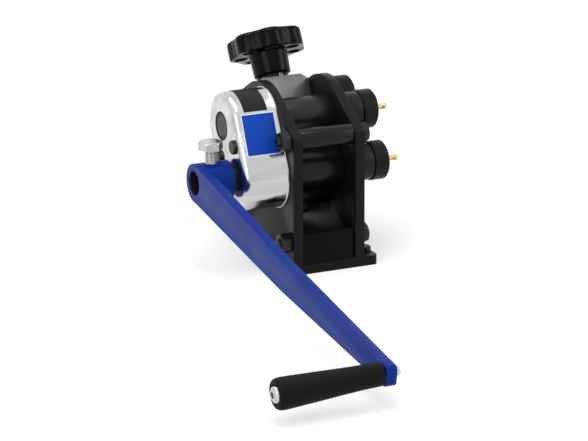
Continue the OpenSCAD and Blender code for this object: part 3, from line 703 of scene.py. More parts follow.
def dressed(
    node: str, name: str, finish: Finish, body: Body, edge: float = 0.0, smooth: float = CRISP, steps: int = 3
) -> bpy.types.Object:
    """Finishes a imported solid's own form as the piece that stands for it.

    Args:
        node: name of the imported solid.
        name: name of the piece.
        finish: its surface.
        body: the body that it rides on.
        edge: radius of its rounded edges in millimetres, 0 for none.
        smooth: angle in degrees above which an edge stays crisp.
        steps: faces across a rounded edge.

    Returns:
        The finished object.
    """
    return piece(Form.copied(node), name, finish, body, [node], edge, smooth, steps)


def coat(finish: Finish, *nodes: str) -> None:
    """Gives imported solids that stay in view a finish.

    Args:
        finish: the surface.
        nodes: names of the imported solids.
    """
    for node in nodes:
        data = frame["nodes"][node].data
        data.materials.clear()
        data.materials.append(finish.material())


def box(node: str) -> tuple[Vector, Vector]:
    """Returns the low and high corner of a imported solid's box, in millimetres."""
    low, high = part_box(node)
    return low / MM, high / MM


# ---------------------------------------------------------------- repeated pieces


def hex_radius(angle: float, across: float) -> float:
    """Returns the distance of a hexagon's side from its middle at an angle."""
    sector = math.radians(60)
    return across / 2 / math.cos((angle + sector / 2) % sector - sector / 2)


@dataclass(frozen=True)
class HexForm:
    """A hexagonal head or nut with chamfered corners, standing on local Z.

    flat_share is the chamfer circle's share of the width across the flats, and chamfer its slope in
    degrees. crown is the rise of the end's middle, where inner_share of that circle begins.
    """

    across: float
    height: float
    both_ends: bool = False
    crown: float = 0.0
    flat_share: float = 0.96
    inner_share: float = 0.5
    chamfer: float = 30.0
    sides: int = 96

    def form(self) -> Form:
        """Builds the head with the curved lines that a turned chamfer leaves on its flats.

        Returns:
            The closed form.
        """
        flat = self.across / 2 * self.flat_share
        slope = math.tan(math.radians(self.chamfer))
        made = Form()

        def ring(radius: Callable[[float], float], level: Callable[[float], float]) -> list[Vertex]:
            """Adds one ring that follows the angle.

            Args:
                radius: its radius at an angle.
                level: its height at an angle.

            Returns:
                The ring's vertices.
            """
            return [
                made.bm.verts.new((radius(a) * math.cos(a), radius(a) * math.sin(a), level(a)))
                for a in turns(self.sides)
            ]

        def side(a: float) -> float:
            """Returns the hexagon's radius at an angle."""
            return hex_radius(a, self.across)

        def drop(a: float) -> float:
            """Returns how far the chamfer falls at an angle."""
            return max(0.0, (side(a) - flat) * slope)

        rings = [ring(lambda a: flat, lambda a: 0.0)] if self.both_ends else []
        rings.append(ring(side, drop if self.both_ends else (lambda a: 0.0)))
        rings.append(ring(side, lambda a: self.height - drop(a)))
        rings.append(ring(lambda a: flat, lambda a: self.height))
        rings.append(ring(lambda a: flat * self.inner_share, lambda a: self.height + self.crown))
        made.skinned(rings)
        made.bm.faces.new(list(reversed(rings[0])))
        made.bm.faces.new(rings[-1])
        return made


def interface(tree: bpy.types.NodeTree, **sockets: str) -> dict[str, str]:
    """Declares a geometry tree's inputs and its output.

    Args:
        tree: the geometry node tree.
        sockets: socket type by input name.

    Returns:
        The identifier of each input by its name.
    """
    tree.interface.new_socket("Geometry", in_out="OUTPUT", socket_type="NodeSocketGeometry")
    tree.interface.new_socket("Geometry", in_out="INPUT", socket_type="NodeSocketGeometry")
    return {
        name: tree.interface.new_socket(name, in_out="INPUT", socket_type=kind).identifier
        for name, kind in sockets.items()
    }


def finished(tree: bpy.types.NodeTree, shape: bpy.types.NodeSocket, finish: bpy.types.NodeSocket) -> None:
    """Ends a geometry tree with a plain mesh in its finish.

    Args:
        tree: the geometry node tree.
        shape: its geometry.
        finish: its material input.
    """
    real = add(tree, "GeometryNodeRealizeInstances", {"Geometry": shape})
    coated = add(tree, "GeometryNodeSetMaterial", {"Geometry": real.outputs[0], "Material": finish})
    add(tree, "NodeGroupOutput", {"Geometry": coated.outputs[0]})


@dataclass
class RepeatTree:
    """Geometry nodes that stand one shape on many points, each with a small turn of its own."""

    tree: bpy.types.NodeTree = field(init=False)
    keys: dict[str, str] = field(init=False)

    def __post_init__(self) -> None:
        """Builds the tree."""
        self.tree = bpy.data.node_groups.new("repeat_at_points", "GeometryNodeTree")
        self.keys = interface(
            self.tree, Shape="NodeSocketObject", Facing="NodeSocketVector", Play="NodeSocketFloat",
            Seed="NodeSocketInt", Finish="NodeSocketMaterial",
        )
        inputs = add(self.tree, "NodeGroupInput").outputs
        shape = add(self.tree, "GeometryNodeObjectInfo", {"Object": inputs["Shape"]})
        spread = add(self.tree, "ShaderNodeMath", {0: inputs["Play"], 1: -1.0}, operation="MULTIPLY")
        own = add(
            self.tree, "FunctionNodeRandomValue",
            {"Min": 0.0, "Max": 1.0, "Seed": inputs["Seed"]}, data_type="FLOAT",
        )
        turn = add(
            self.tree, "ShaderNodeMapRange",
            {"Value": own.outputs["Value"], "To Min": spread.outputs[0], "To Max": inputs["Play"]},
        )
        spin = add(self.tree, "ShaderNodeCombineXYZ", {"Z": turn.outputs[0]})
        on_points = add(
            self.tree, "GeometryNodeInstanceOnPoints",
            {"Points": inputs["Geometry"], "Instance": shape.outputs["Geometry"],
             "Rotation": inputs["Facing"]},
        )
        spun = add(
            self.tree, "GeometryNodeRotateInstances",
            {"Instances": on_points.outputs[0], "Rotation": spin.outputs[0]},
        )
        finished(self.tree, spun.outputs[0], inputs["Finish"])

    def place(
        self, name: str, form: Form, frames: Sequence[Matrix], finish: Finish, body: Body,
        replaces: Sequence[str] = (), play: float = 0.0, seed: int = 1,
    ) -> bpy.types.Object:
        """Stands a form at several frames that share one facing.

        Args:
            name: name of the piece.
            form: the shape, in millimetres, on local Z.
            frames: places in millimetres.
            finish: its surface.
            body: the body that it rides on.
            replaces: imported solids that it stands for.
            play: largest turn of each copy round its own axis, in degrees.
            seed: fixed seed of these turns.

        Returns:
            The finished object with a plain mesh.
        """
        shape = form.object(name + "_shape")
        points = bpy.data.meshes.new(name)
        points.from_pydata([m.translation * MM for m in frames], [], [])
        obj = bpy.data.objects.new(name, points)
        bpy.context.scene.collection.objects.link(obj)
        nodes = obj.modifiers.new("repeat", "NODES")
        nodes.node_group = self.tree
        nodes[self.keys["Shape"]] = shape
        nodes[self.keys["Facing"]] = frames[0].to_euler()
        nodes[self.keys["Play"]] = math.radians(play)
        nodes[self.keys["Seed"]] = seed
        nodes[self.keys["Finish"]] = finish.material()
        baked(obj)
        bpy.data.objects.remove(shape)
        obj.data.polygons.foreach_set("use_smooth", [True] * len(obj.data.polygons))
        obj.data.set_sharp_from_angle(angle=math.radians(CRISP))
        return handed(obj, body, replaces)


@dataclass
class ThreadTree:
    """Geometry nodes that wind a thread's ridge along local Z.

    ridge_share is the radius of the ridge's square section as a share of the pitch.
    """

    ridge_share: float = 0.42
    steps: int = 28
    corners: int = 4
    tree: bpy.types.NodeTree = field(init=False)
    keys: dict[str, str] = field(init=False)

    def __post_init__(self) -> None:
        """Builds the tree."""
        self.tree = bpy.data.node_groups.new("wound_thread", "GeometryNodeTree")
        self.keys = interface(
            self.tree, Core="NodeSocketFloat", Ridge="NodeSocketFloat", Length="NodeSocketFloat",
            Pitch="NodeSocketFloat", Finish="NodeSocketMaterial",
        )
        inputs = add(self.tree, "NodeGroupInput").outputs
        rounds = add(
            self.tree, "ShaderNodeMath", {0: inputs["Length"], 1: inputs["Pitch"]}, operation="DIVIDE"
        )
        helix = add(
            self.tree, "GeometryNodeCurveSpiral",
            {"Resolution": self.steps, "Rotations": rounds.outputs[0], "Start Radius": inputs["Core"],
             "End Radius": inputs["Core"], "Height": inputs["Length"]},
        )
        upright = add(self.tree, "GeometryNodeSetCurveNormal", {"Curve": helix.outputs[0]})
        upright.mode = "Z_UP"
        ridge = add(
            self.tree, "GeometryNodeCurvePrimitiveCircle",
            {"Resolution": self.corners, "Radius": inputs["Ridge"]},
        )
        wound = add(
            self.tree, "GeometryNodeCurveToMesh",
            {"Curve": upright.outputs[0], "Profile Curve": ridge.outputs[0], "Fill Caps": True},
        )
        finished(self.tree, wound.outputs[0], inputs["Finish"])

    def depth(self, pitch: float) -> float:
        """Returns how far the ridge stands on its core."""
        return pitch * self.ridge_share

    def form(self, diameter: float, length: float, pitch: float, finish: Finish) -> Form:
        """Winds a ridge that stands on a core.

        Args:
            diameter: outer diameter of the thread.
            length: threaded length.
            pitch: rise of one turn.
            finish: its surface.

        Returns:
            The ridge as a form on local Z, in millimetres.
        """
        depth = self.depth(pitch)
        obj = bpy.data.objects.new("thread", bpy.data.meshes.new("thread"))
        bpy.context.scene.collection.objects.link(obj)
        nodes = obj.modifiers.new("thread", "NODES")
        nodes.node_group = self.tree
        nodes[self.keys["Core"]] = diameter / 2 - depth
        nodes[self.keys["Ridge"]] = depth
        nodes[self.keys["Length"]] = length - 2 * depth
        nodes[self.keys["Pitch"]] = pitch
        nodes[self.keys["Finish"]] = finish.material()
        baked(obj)
        form = Form()
        form.bm.from_mesh(obj.data)
        bmesh.ops.translate(form.bm, verts=form.bm.verts, vec=(0.0, 0.0, depth))
        bpy.data.objects.remove(obj)
        return form

    def rod(self, diameter: float, length: float, pitch: float, finish: Finish, bevel: float = 0.8) -> Form:
        """Makes a rod with a thread over its whole length, on local Z.

        Args:
            diameter: outer diameter of the thread.
            length: length of the rod.
            pitch: rise of one turn.
            finish: its surface.
            bevel: chamfer of the core's ends.

        Returns:
            The rod in millimetres.
        """
        core = diameter / 2 - self.depth(pitch)
        foot = [(0.0, 0.0), (core - bevel, 0.0), (core, bevel)]
        end = [(core, length - bevel), (core - bevel, length), (0.0, length)]
        return Form.turned([*foot, *end], 48).joined(self.form(diameter, length, pitch, finish))


@dataclass
class Workshop:
    """The geometry trees that every sub-assembly shares."""

    repeat: RepeatTree = field(default_factory=RepeatTree)
    thread: ThreadTree = field(default_factory=ThreadTree)


# ---------------------------------------------------------------- sub-assemblies


@dataclass
class Stand:
    """Base plate, side plates and front web of coated steel, and the levelling screws."""

    plate_edge: float = 0.9
    base_edge: float = 0.8
    head_across: float = 13.0
    head_height: float = 5.5
    head_crown: float = -0.2
    shank: float = 3.9
    shank_tip: float = 3.2
    shank_depth: float = 9.6
    shank_bevel: float = 0.8
    overlap: float = 0.2
    play: float = 4.0

    def screw(self) -> Form:
        """Makes a levelling screw, its head on the base plate and its shank in it.

        Returns:
            The screw on local Z.
        """
        tip = -self.shank_depth
        foot = [(0.0, tip), (self.shank_tip, tip), (self.shank, tip + self.shank_bevel)]
        shank = Form.turned([*foot, (self.shank, self.overlap), (0.0, self.overlap)], 32)
        return HexForm(self.head_across, self.head_height, crown=self.head_crown).form().joined(shank)

    def build(self, shop: Workshop) -> list[bpy.types.Object]:
        """Builds the coated plates and the levelling screws.

        Args:
            shop: shared geometry trees.

        Returns:
            The pieces.
        """
        made = [
            dressed("base_plate", "base_coated", POWDER_COAT, Body.FRAME, self.base_edge),
            dressed("left_plate", "left_plate_coated", POWDER_COAT, Body.FRAME, self.plate_edge),
            dressed("right_plate", "right_plate_coated", POWDER_COAT, Body.FRAME, self.plate_edge),
            # The web's coat is painted darker as shade between the side plates
            dressed("front_web", "front_web_coated", SHADED_WEB_COAT, Body.FRAME, self.base_edge),
        ]
        coat(BLACK_OXIDE, "base_screws")
        low, high = box("levelling_screws")
        base_top = box("base_plate")[1].z
        half = (high.y - low.y) / 2 - hex_radius(math.radians(30), self.head_across)
        x, y = (low.x + high.x) / 2, (low.y + high.y) / 2
        frames = [Matrix.Translation((x, y + side * half, base_top)) for side in (-1, 1)]
        screws = shop.repeat.place(
            "levelling_screw_set", self.screw(), frames, TURNED_CAP, Body.FRAME, ["levelling_screws"],
            self.play, seed=3,
        )
        return [*made, screws]


@dataclass
class TieBars:
    """Tie bolts with heads, nuts and spacer tubes, and the two shaft housings.

    same_share and apart_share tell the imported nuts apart, as shares of a nut's corner radius.
    """

    across: float = 18.0
    head: float = 7.5
    head_crown: float = -0.3
    nut: float = 10.0
    thread: float = 12.0
    pitch: float = 1.75
    tail: float = 3.0
    tail_bevel: float = 1.0
    overlap: float = 2.0
    outer: float = 39.0
    turn: float = 30.0
    play: float = 3.0
    same_share: float = 2.2
    apart_share: float = 2.4
    tube_edge: float = 0.4
    housing_edge: float = 0.6

    def points(self) -> list[Point]:
        """Finds the ties.

        Returns:
            Their depth and height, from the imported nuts' places.
        """
        corner = hex_radius(math.radians(30), self.across)
        ties: list[Point] = []
        spots = [Vector(v.co) / MM for v in frame["nodes"]["tie_nuts"].data.vertices]
        for spot in spots:
            if all(math.hypot(spot.y - y, spot.z - z) >= self.apart_share * corner for y, z in ties):
                near = [p for p in spots if math.hypot(p.y - spot.y, p.z - spot.z) < self.same_share * corner]
                ys, zs = [p.y for p in near], [p.z for p in near]
                ties.append(((min(ys) + max(ys)) / 2, (min(zs) + max(zs)) / 2))
        return ties

    def build(self, shop: Workshop) -> list[bpy.types.Object]:
        """Builds the ties.

        Args:
            shop: shared geometry trees.

        Returns:
            The pieces.
        """
        turned = Matrix.Rotation(math.radians(self.turn), 4, "Z")

        def at(side: int, y: float, z: float) -> Matrix:
            """Finds the frame of a head or nut.

            Args:
                side: -1 outside the left plate, 1 outside the right one.
                y: the tie's depth.
                z: its height.

            Returns:
                The frame, its local Z away from the plate.
            """
            outward = Vector((side, 0, 0))
            place = outward * self.outer + Vector((0, y, z))
            return axes(place, LAYOUT.rearward, LAYOUT.along * side, outward) @ turned

        ties = self.points()
        nut = HexForm(self.across, self.nut, both_ends=True).form()
        reach = self.tail + self.overlap
        tail = shop.thread.rod(self.thread, reach, self.pitch, BLACK_OXIDE, self.tail_bevel)
        nut.joined(tail.placed(Matrix.Translation((0, 0, self.nut - self.overlap))))
        head = HexForm(self.across, self.head, crown=self.head_crown).form()
        nuts, heads = ([at(side, *tie) for tie in ties] for side in (-1, 1))
        play = self.play
        made = [
            shop.repeat.place("tie_nut_set", nut, nuts, BLACK_OXIDE, Body.FRAME, ["tie_nuts"], play, seed=5),
            shop.repeat.place("tie_head_set", head, heads, BLACK_OXIDE, Body.FRAME, play=play, seed=7),
            dressed("tie_spacers", "tie_spacer_tubes", BLACKENED_BAR, Body.FRAME, self.tube_edge),
            dressed("lower_housing", "lower_housing_turned", BLACKENED_BAR, Body.FRAME, self.housing_edge),
            dressed("upper_housing", "upper_housing_turned", BLACK_OXIDE, Body.FRAME, self.housing_edge),
            dressed("thrust_bar", "thrust_bar_milled", BLACK_OXIDE, Body.FRAME, self.tube_edge),
        ]
        rods, length, radius = Form(), 2 * self.outer, self.thread / 2
        for frame_at_tie in heads:
            rod = Form.turned([(0.0, 0.0), (radius, 0.0), (radius, length), (0.0, length)], 48)
            rods.joined(rod.placed(frame_at_tie @ Matrix.Translation((0, 0, -length))))
        made.append(piece(rods, "tie_rods", BLACK_OXIDE, Body.FRAME, ["tie_bolts"]))
        coat(BEARING_BRONZE, "bushes")
        return made


class Station(NamedTuple):
    """A place on a film's way, m to the front and n along the row, with its outward side and its shift."""

    m: float
    n: float
    out_m: float
    out_n: float
    shift: float = 0.0


@dataclass
class GearCover:
    """Chromed sheet cover with its films and bolts.

    Heights count from the left plate outwards. The lip, root and inner sizes shape the sheet's section;
    the shares place rings on its straight sides. Each film has its low and high edge and its lift, the
    stand of its face off the sheet.
    """

    radius: float = 34.0
    centres: float = 54.0
    outer: float = 39.0
    depth: float = 47.4
    corner: float = 6.5
    corner_steps: int = 10
    wall: float = 2.0
    lip: float = 1.0
    lip_height: float = 1.6
    lip_round: float = 0.3
    lip_bevel: float = 0.4
    root: float = 0.25
    root_low: float = 0.15
    root_high: float = 0.8
    inner_corner: float = 0.4
    inner_side: float = 0.2
    side_shares: tuple[float, ...] = (0.3, 0.6)
    inner_shares: tuple[float, ...] = (0.75, 0.4)
    shaft_hole: float = 13.5
    nose_hole: float = 14.75
    hole_sides: int = 64
    bolt_across: float = 13.0
    bolt_offset: float = 20.0
    bolt_head: float = 3.0
    bolt_crown: float = -0.3
    bolt_turn: float = 12.0
    bolt_play: float = 6.0
    steps: int = 40
    straight: int = 6
    film_wall: float = 0.12
    band_low: float = 10.0
    band_high: float = 35.5
    band_lift: float = 0.16
    band_start: float = 6.0
    band_end: float = 160.0
    band_steps: int = 36
    label_low: float = 4.0
    label_high: float = 39.8
    label_top: float = 55.4
    label_foot: float = 12.4
    label_lean: float = 0.03
    label_border: float = 0.8
    label_lifts: tuple[float, float] = (0.24, 0.30)
    label_steps: int = 12

    def loop(self, inset: float) -> list[Point]:
        """Draws the cover's outline, two round ends and straight sides.

        Args:
            inset: distance inside the outline.

        Returns:
            Its points.
        """
        r = self.radius - inset
        half_turn = [math.pi * k / self.steps for k in range(self.steps + 1)]
        top = [(r * math.cos(a), self.centres + r * math.sin(a)) for a in half_turn]
        bottom = [(-r * math.cos(a), -r * math.sin(a)) for a in half_turn]
        left = [(-r, self.centres * (1 - k / self.straight)) for k in range(1, self.straight)]
        right = [(r, self.centres * k / self.straight) for k in range(1, self.straight)]
        return top + left + bottom + right

    def section(self) -> list[Point]:
        """Draws the sheet's section.

        Returns:
            Inset and height pairs from the inner face, round the rim and over the lip, to the outer face.
        """
        face, side = self.depth - self.wall, self.depth - self.corner
        inner = [(self.corner + self.inner_corner, face), (self.wall + self.inner_side, side)]
        inner += [(self.wall, self.depth * s) for s in self.inner_shares]
        lip = [
            (self.wall, 0.0),
            (self.lip_round - self.lip, 0.0),
            (-self.lip, self.lip_round),
            (-self.lip, self.lip_height - self.lip_bevel),
            (self.lip_bevel - self.lip, self.lip_height),
        ]
        root = [(-self.root, self.lip_height + self.root_low), (0.0, self.lip_height + self.root_high)]
        outer = [(0.0, self.depth * s) for s in self.side_shares]
        bends = [math.radians(90 * k / self.corner_steps) for k in range(self.corner_steps + 1)]
        bend = [(self.corner * (1 - math.cos(a)), side + self.corner * math.sin(a)) for a in bends]
        return inner + lip + root + outer + bend

    def shell(self) -> Form:
        """Builds the cover: skin, face with its holes, and the inner wall.

        Returns:
            The closed cover on local Z.
        """
        form = Form()
        rows = [[form.bm.verts.new((x, y, z)) for x, y in self.loop(inset)] for inset, z in self.section()]
        form.skinned(rows)
        holes = [((0.0, 0.0), self.shaft_hole), ((0.0, self.centres), self.nose_hole)]
        levels = (self.depth, self.depth - self.wall)
        rims = [[form.ring(r, z, self.hole_sides, centre) for centre, r in holes] for z in levels]
        for pair in zip(*rims):
            form.skinned(pair)
        for border, rings in zip((rows[-1], rows[0]), rims):
            form.filled(border, *rings)
        form.faced()
        return form

    def film(self, low: float, high: float, path: Sequence[Station], lift: float) -> Form:
        """Lays a thin film on the cover's side.

        Args:
            low: nearer edge, as a height above the plate.
            high: farther edge.
            path: its way along the outline.
            lift: stand of the film's face off the sheet.

        Returns:
            A closed thin sheet.
        """
        form = Form()
        back = lift - self.film_wall
        corners = ((back, low), (lift, low), (lift, high), (back, high))
        rows = []
        for s in path:
            spots = [(s.m + s.out_m * d, s.n + s.out_n * d, z + s.shift) for d, z in corners]
            rows.append([form.bm.verts.new(spot) for spot in spots])
        form.skinned(rows)
        form.bm.faces.new(rows[0])
        form.bm.faces.new(list(reversed(rows[-1])))
        form.faced()
        return form

    def on_end(self, a: float, shift: float = 0.0) -> Station:
        """Returns the place on the round upper end at an angle in radians."""
        c, s = math.cos(a), math.sin(a)
        return Station(self.radius * c, self.centres + self.radius * s, c, s, shift)

    def band_path(self) -> list[Station]:
        """Finds the black band's way round the upper end.

        Returns:
            The way from the front to the rear.
        """
        span = self.band_end - self.band_start
        steps = range(self.band_steps + 1)
        return [self.on_end(math.radians(self.band_start + span * k / self.band_steps)) for k in steps]

    def label_path(self, border: float) -> list[Station]:
        """Finds the label's way down the flat front side, leaning a little as it was stuck on.

        Args:
            border: distance inside the label's edge.

        Returns:
            The way from its top to its foot.
        """
        top, foot = self.label_top - border, self.label_foot + border
        made = []
        for k in range(self.label_steps + 1):
            n = top + (foot - top) * k / self.label_steps
            shift = self.label_lean * (top - n)
            if n > self.centres:
                made.append(self.on_end((n - self.centres) / self.radius, shift))
            else:
                made.append(Station(self.radius, n, 1.0, 0.0, shift))
        return made

    def label(self, border: float, lift: float) -> Form:
        """Returns a layer of the label, its edge inside the label's by the border."""
        return self.film(self.label_low + border, self.label_high - border, self.label_path(border), lift)

    def build(self, shop: Workshop) -> list[bpy.types.Object]:
        """Builds the cover with its films and bolts.

        Args:
            shop: shared geometry trees.

        Returns:
            The pieces.
        """
        stand = LAYOUT.leftward(-self.outer)
        shell = self.shell().placed(stand)
        made = [piece(shell, "gear_cover_chromed", CHROME_SHEET_PAINTED_BANDS, Body.FRAME, ["gear_cover"], smooth=40)]
        band = self.film(self.band_low, self.band_high, self.band_path(), self.band_lift)
        films = (
            ("cover_band", BLACK_VINYL, band),
            ("cover_label_backing", WHITE_VINYL, self.label(0.0, self.label_lifts[0])),
            ("cover_label_print", BLUE_VINYL, self.label(self.label_border, self.label_lifts[1])),
        )
        for name, finish, form in films:
            made.append(piece(form.placed(stand), name, finish, Body.FRAME))
        head = HexForm(self.bolt_across, self.bolt_head, crown=self.bolt_crown).form()
        base = LAYOUT.leftward(-self.outer - self.depth)
        turned = Matrix.Rotation(math.radians(self.bolt_turn), 4, "Z")
        places = [Matrix.Translation((side * self.bolt_offset, self.centres / 2, 0)) for side in (-1, 1)]
        frames = [base @ place @ turned for place in places]
        made.append(
            shop.repeat.place(
                "cover_bolt_set", head, frames, BLACK_OXIDE, Body.FRAME, play=self.bolt_play, seed=11
            )
        )
        coat(BLACK_OXIDE, "cover_bolts")
        return made


@dataclass
class RollerSet:
    """Three rollers with caps and grease nipples, and the shafts and gears behind them.

    The cap has a rounded bevel between its side and its face, and a shallow dish in the face. The
    nipple's shares place its hexagon and stem along its length; its other heights count from its tip.
    """

    roller: float = 19.0
    roller_edge: float = 1.0
    cap: float = 20.0
    cap_edge: float = 0.8
    bevel_round: float = 1.2
    bevel_height: float = 2.6
    face_round: float = 1.0
    face_inset: float = 2.9
    dish: float = 9.0
    dish_depth: float = 0.3
    dish_slope: float = 0.6
    nipple_across: float = 8.0
    nipple_sink: float = 0.3
    hexagon_share: float = 0.3
    stem_share: float = 0.36
    waist_share: float = 0.42
    stem: float = 3.2
    waist: float = 2.4
    collar: float = 2.7
    ball: float = 3.2
    bore: float = 0.8

    def roller_profile(self, width: float) -> Profile:
        """Draws the roller's outer profile with its rounded edges.

        Args:
            width: width of the roller.

        Returns:
            Its radius and height pairs.
        """
        r, edge = self.roller, self.roller_edge
        near, far = arc((r - edge, edge), edge, -90, 0, 4), arc((r - edge, width - edge), edge, 0, 90, 4)
        return [(0.0, 0.0), (r - edge, 0.0), *near[1:], *far, (0.0, width)]

    def cap_profile(self, width: float) -> Profile:
        """Draws the cap's profile: small rear edge, wide front bevel with softened corners.

        Args:
            width: width of the cap.

        Returns:
            Its radius and height pairs.
        """
        r = self.cap
        side = arc((r - self.bevel_round, width - self.bevel_height), self.bevel_round, 0, 40, 3)
        face = arc((r - self.face_inset, width - self.face_round), self.face_round, 50, 90, 3)
        floor = width - self.dish_depth
        dish = [(self.dish, width), (self.dish - self.dish_slope, floor), (0.0, floor)]
        return [(0.0, 0.0), (r - self.cap_edge, 0.0), (r, self.cap_edge), *side, *face, *dish]

    def nipple_form(self, length: float) -> Form:
        """Builds a stepped nipple: hexagon, waist, ring and ball with its small bore.

        Args:
            length: reach of the nipple from the cap.

        Returns:
            The nipple on local Z.
        """
        stem = [(0.0, -0.1), (self.stem, -0.1), (self.stem, length * self.stem_share)]
        waist = [(self.waist, length * self.waist_share), (self.waist, length - 2 * self.ball)]
        ring = [(self.collar, length - 6.0), (self.collar, length - 5.8)]
        ball = arc((0.0, length - self.ball), self.ball, -48, 68, 10)
        bore = [(self.bore, length - 0.2), (self.bore, length - 1.2), (0.0, length - 1.2)]
        hexagon = HexForm(self.nipple_across, length * self.hexagon_share).form()
        return hexagon.joined(Form.turned([*stem, *waist, *ring, *ball, *bore], 40))

    def build(self, shop: Workshop) -> list[bpy.types.Object]:
        """Builds the rollers' visible pieces.

        Args:
            shop: shared geometry trees; not used here.

        Returns:
            The pieces.
        """
        made = []
        for row, body in (("lower", Body.CRANK), ("upper", Body.UPPER), ("rear", Body.REAR)):
            low, high = box(f"{row}_roller")
            cap_low, cap_high = box(f"{row}_cap")
            tip = box(f"{row}_nipple")[1].x
            y, z = (low.y + high.y) / 2, (low.z + high.z) / 2
            sleeve = Form.turned(self.roller_profile(high.x - low.x)).placed(LAYOUT.rightward(low.x, y, z))
            cap = Form.turned(self.cap_profile(cap_high.x - cap_low.x))
            cap.placed(LAYOUT.rightward(cap_low.x, y, z))
            face = LAYOUT.rightward(cap_high.x - self.nipple_sink, y, z)
            nipple = self.nipple_form(tip - cap_high.x).placed(face)
            made += [
                piece(sleeve, f"{row}_roller_hardened", HARDENED_ROLLER, body, [f"{row}_roller"]),
                piece(cap, f"{row}_cap_turned", TURNED_CAP, body, [f"{row}_cap"]),
                piece(nipple, f"{row}_nipple_turned", TURNED_BRASS, body, [f"{row}_nipple"], smooth=40),
            ]
        coat(GROUND_STEEL, "rear_shaft", "lower_keys", "upper_keys")
        coat(TURNED_END, "upper_shaft")
        # The lower shaft's near-black is painted shade for the arm's eye and the gap by the cover
        coat(SHADED_BORE_STEEL, "lower_shaft")
        coat(MILLED_STEEL, "drive_gear")
        # Black oxide on the driven gear, whose nose ring shows as a dark ring round the cover's nose hole:
        # partly the gear's own black, partly painted shade for that gap
        made.append(dressed("driven_gear", "driven_gear_turned", BLACK_OXIDE, Body.UPPER))
        return made


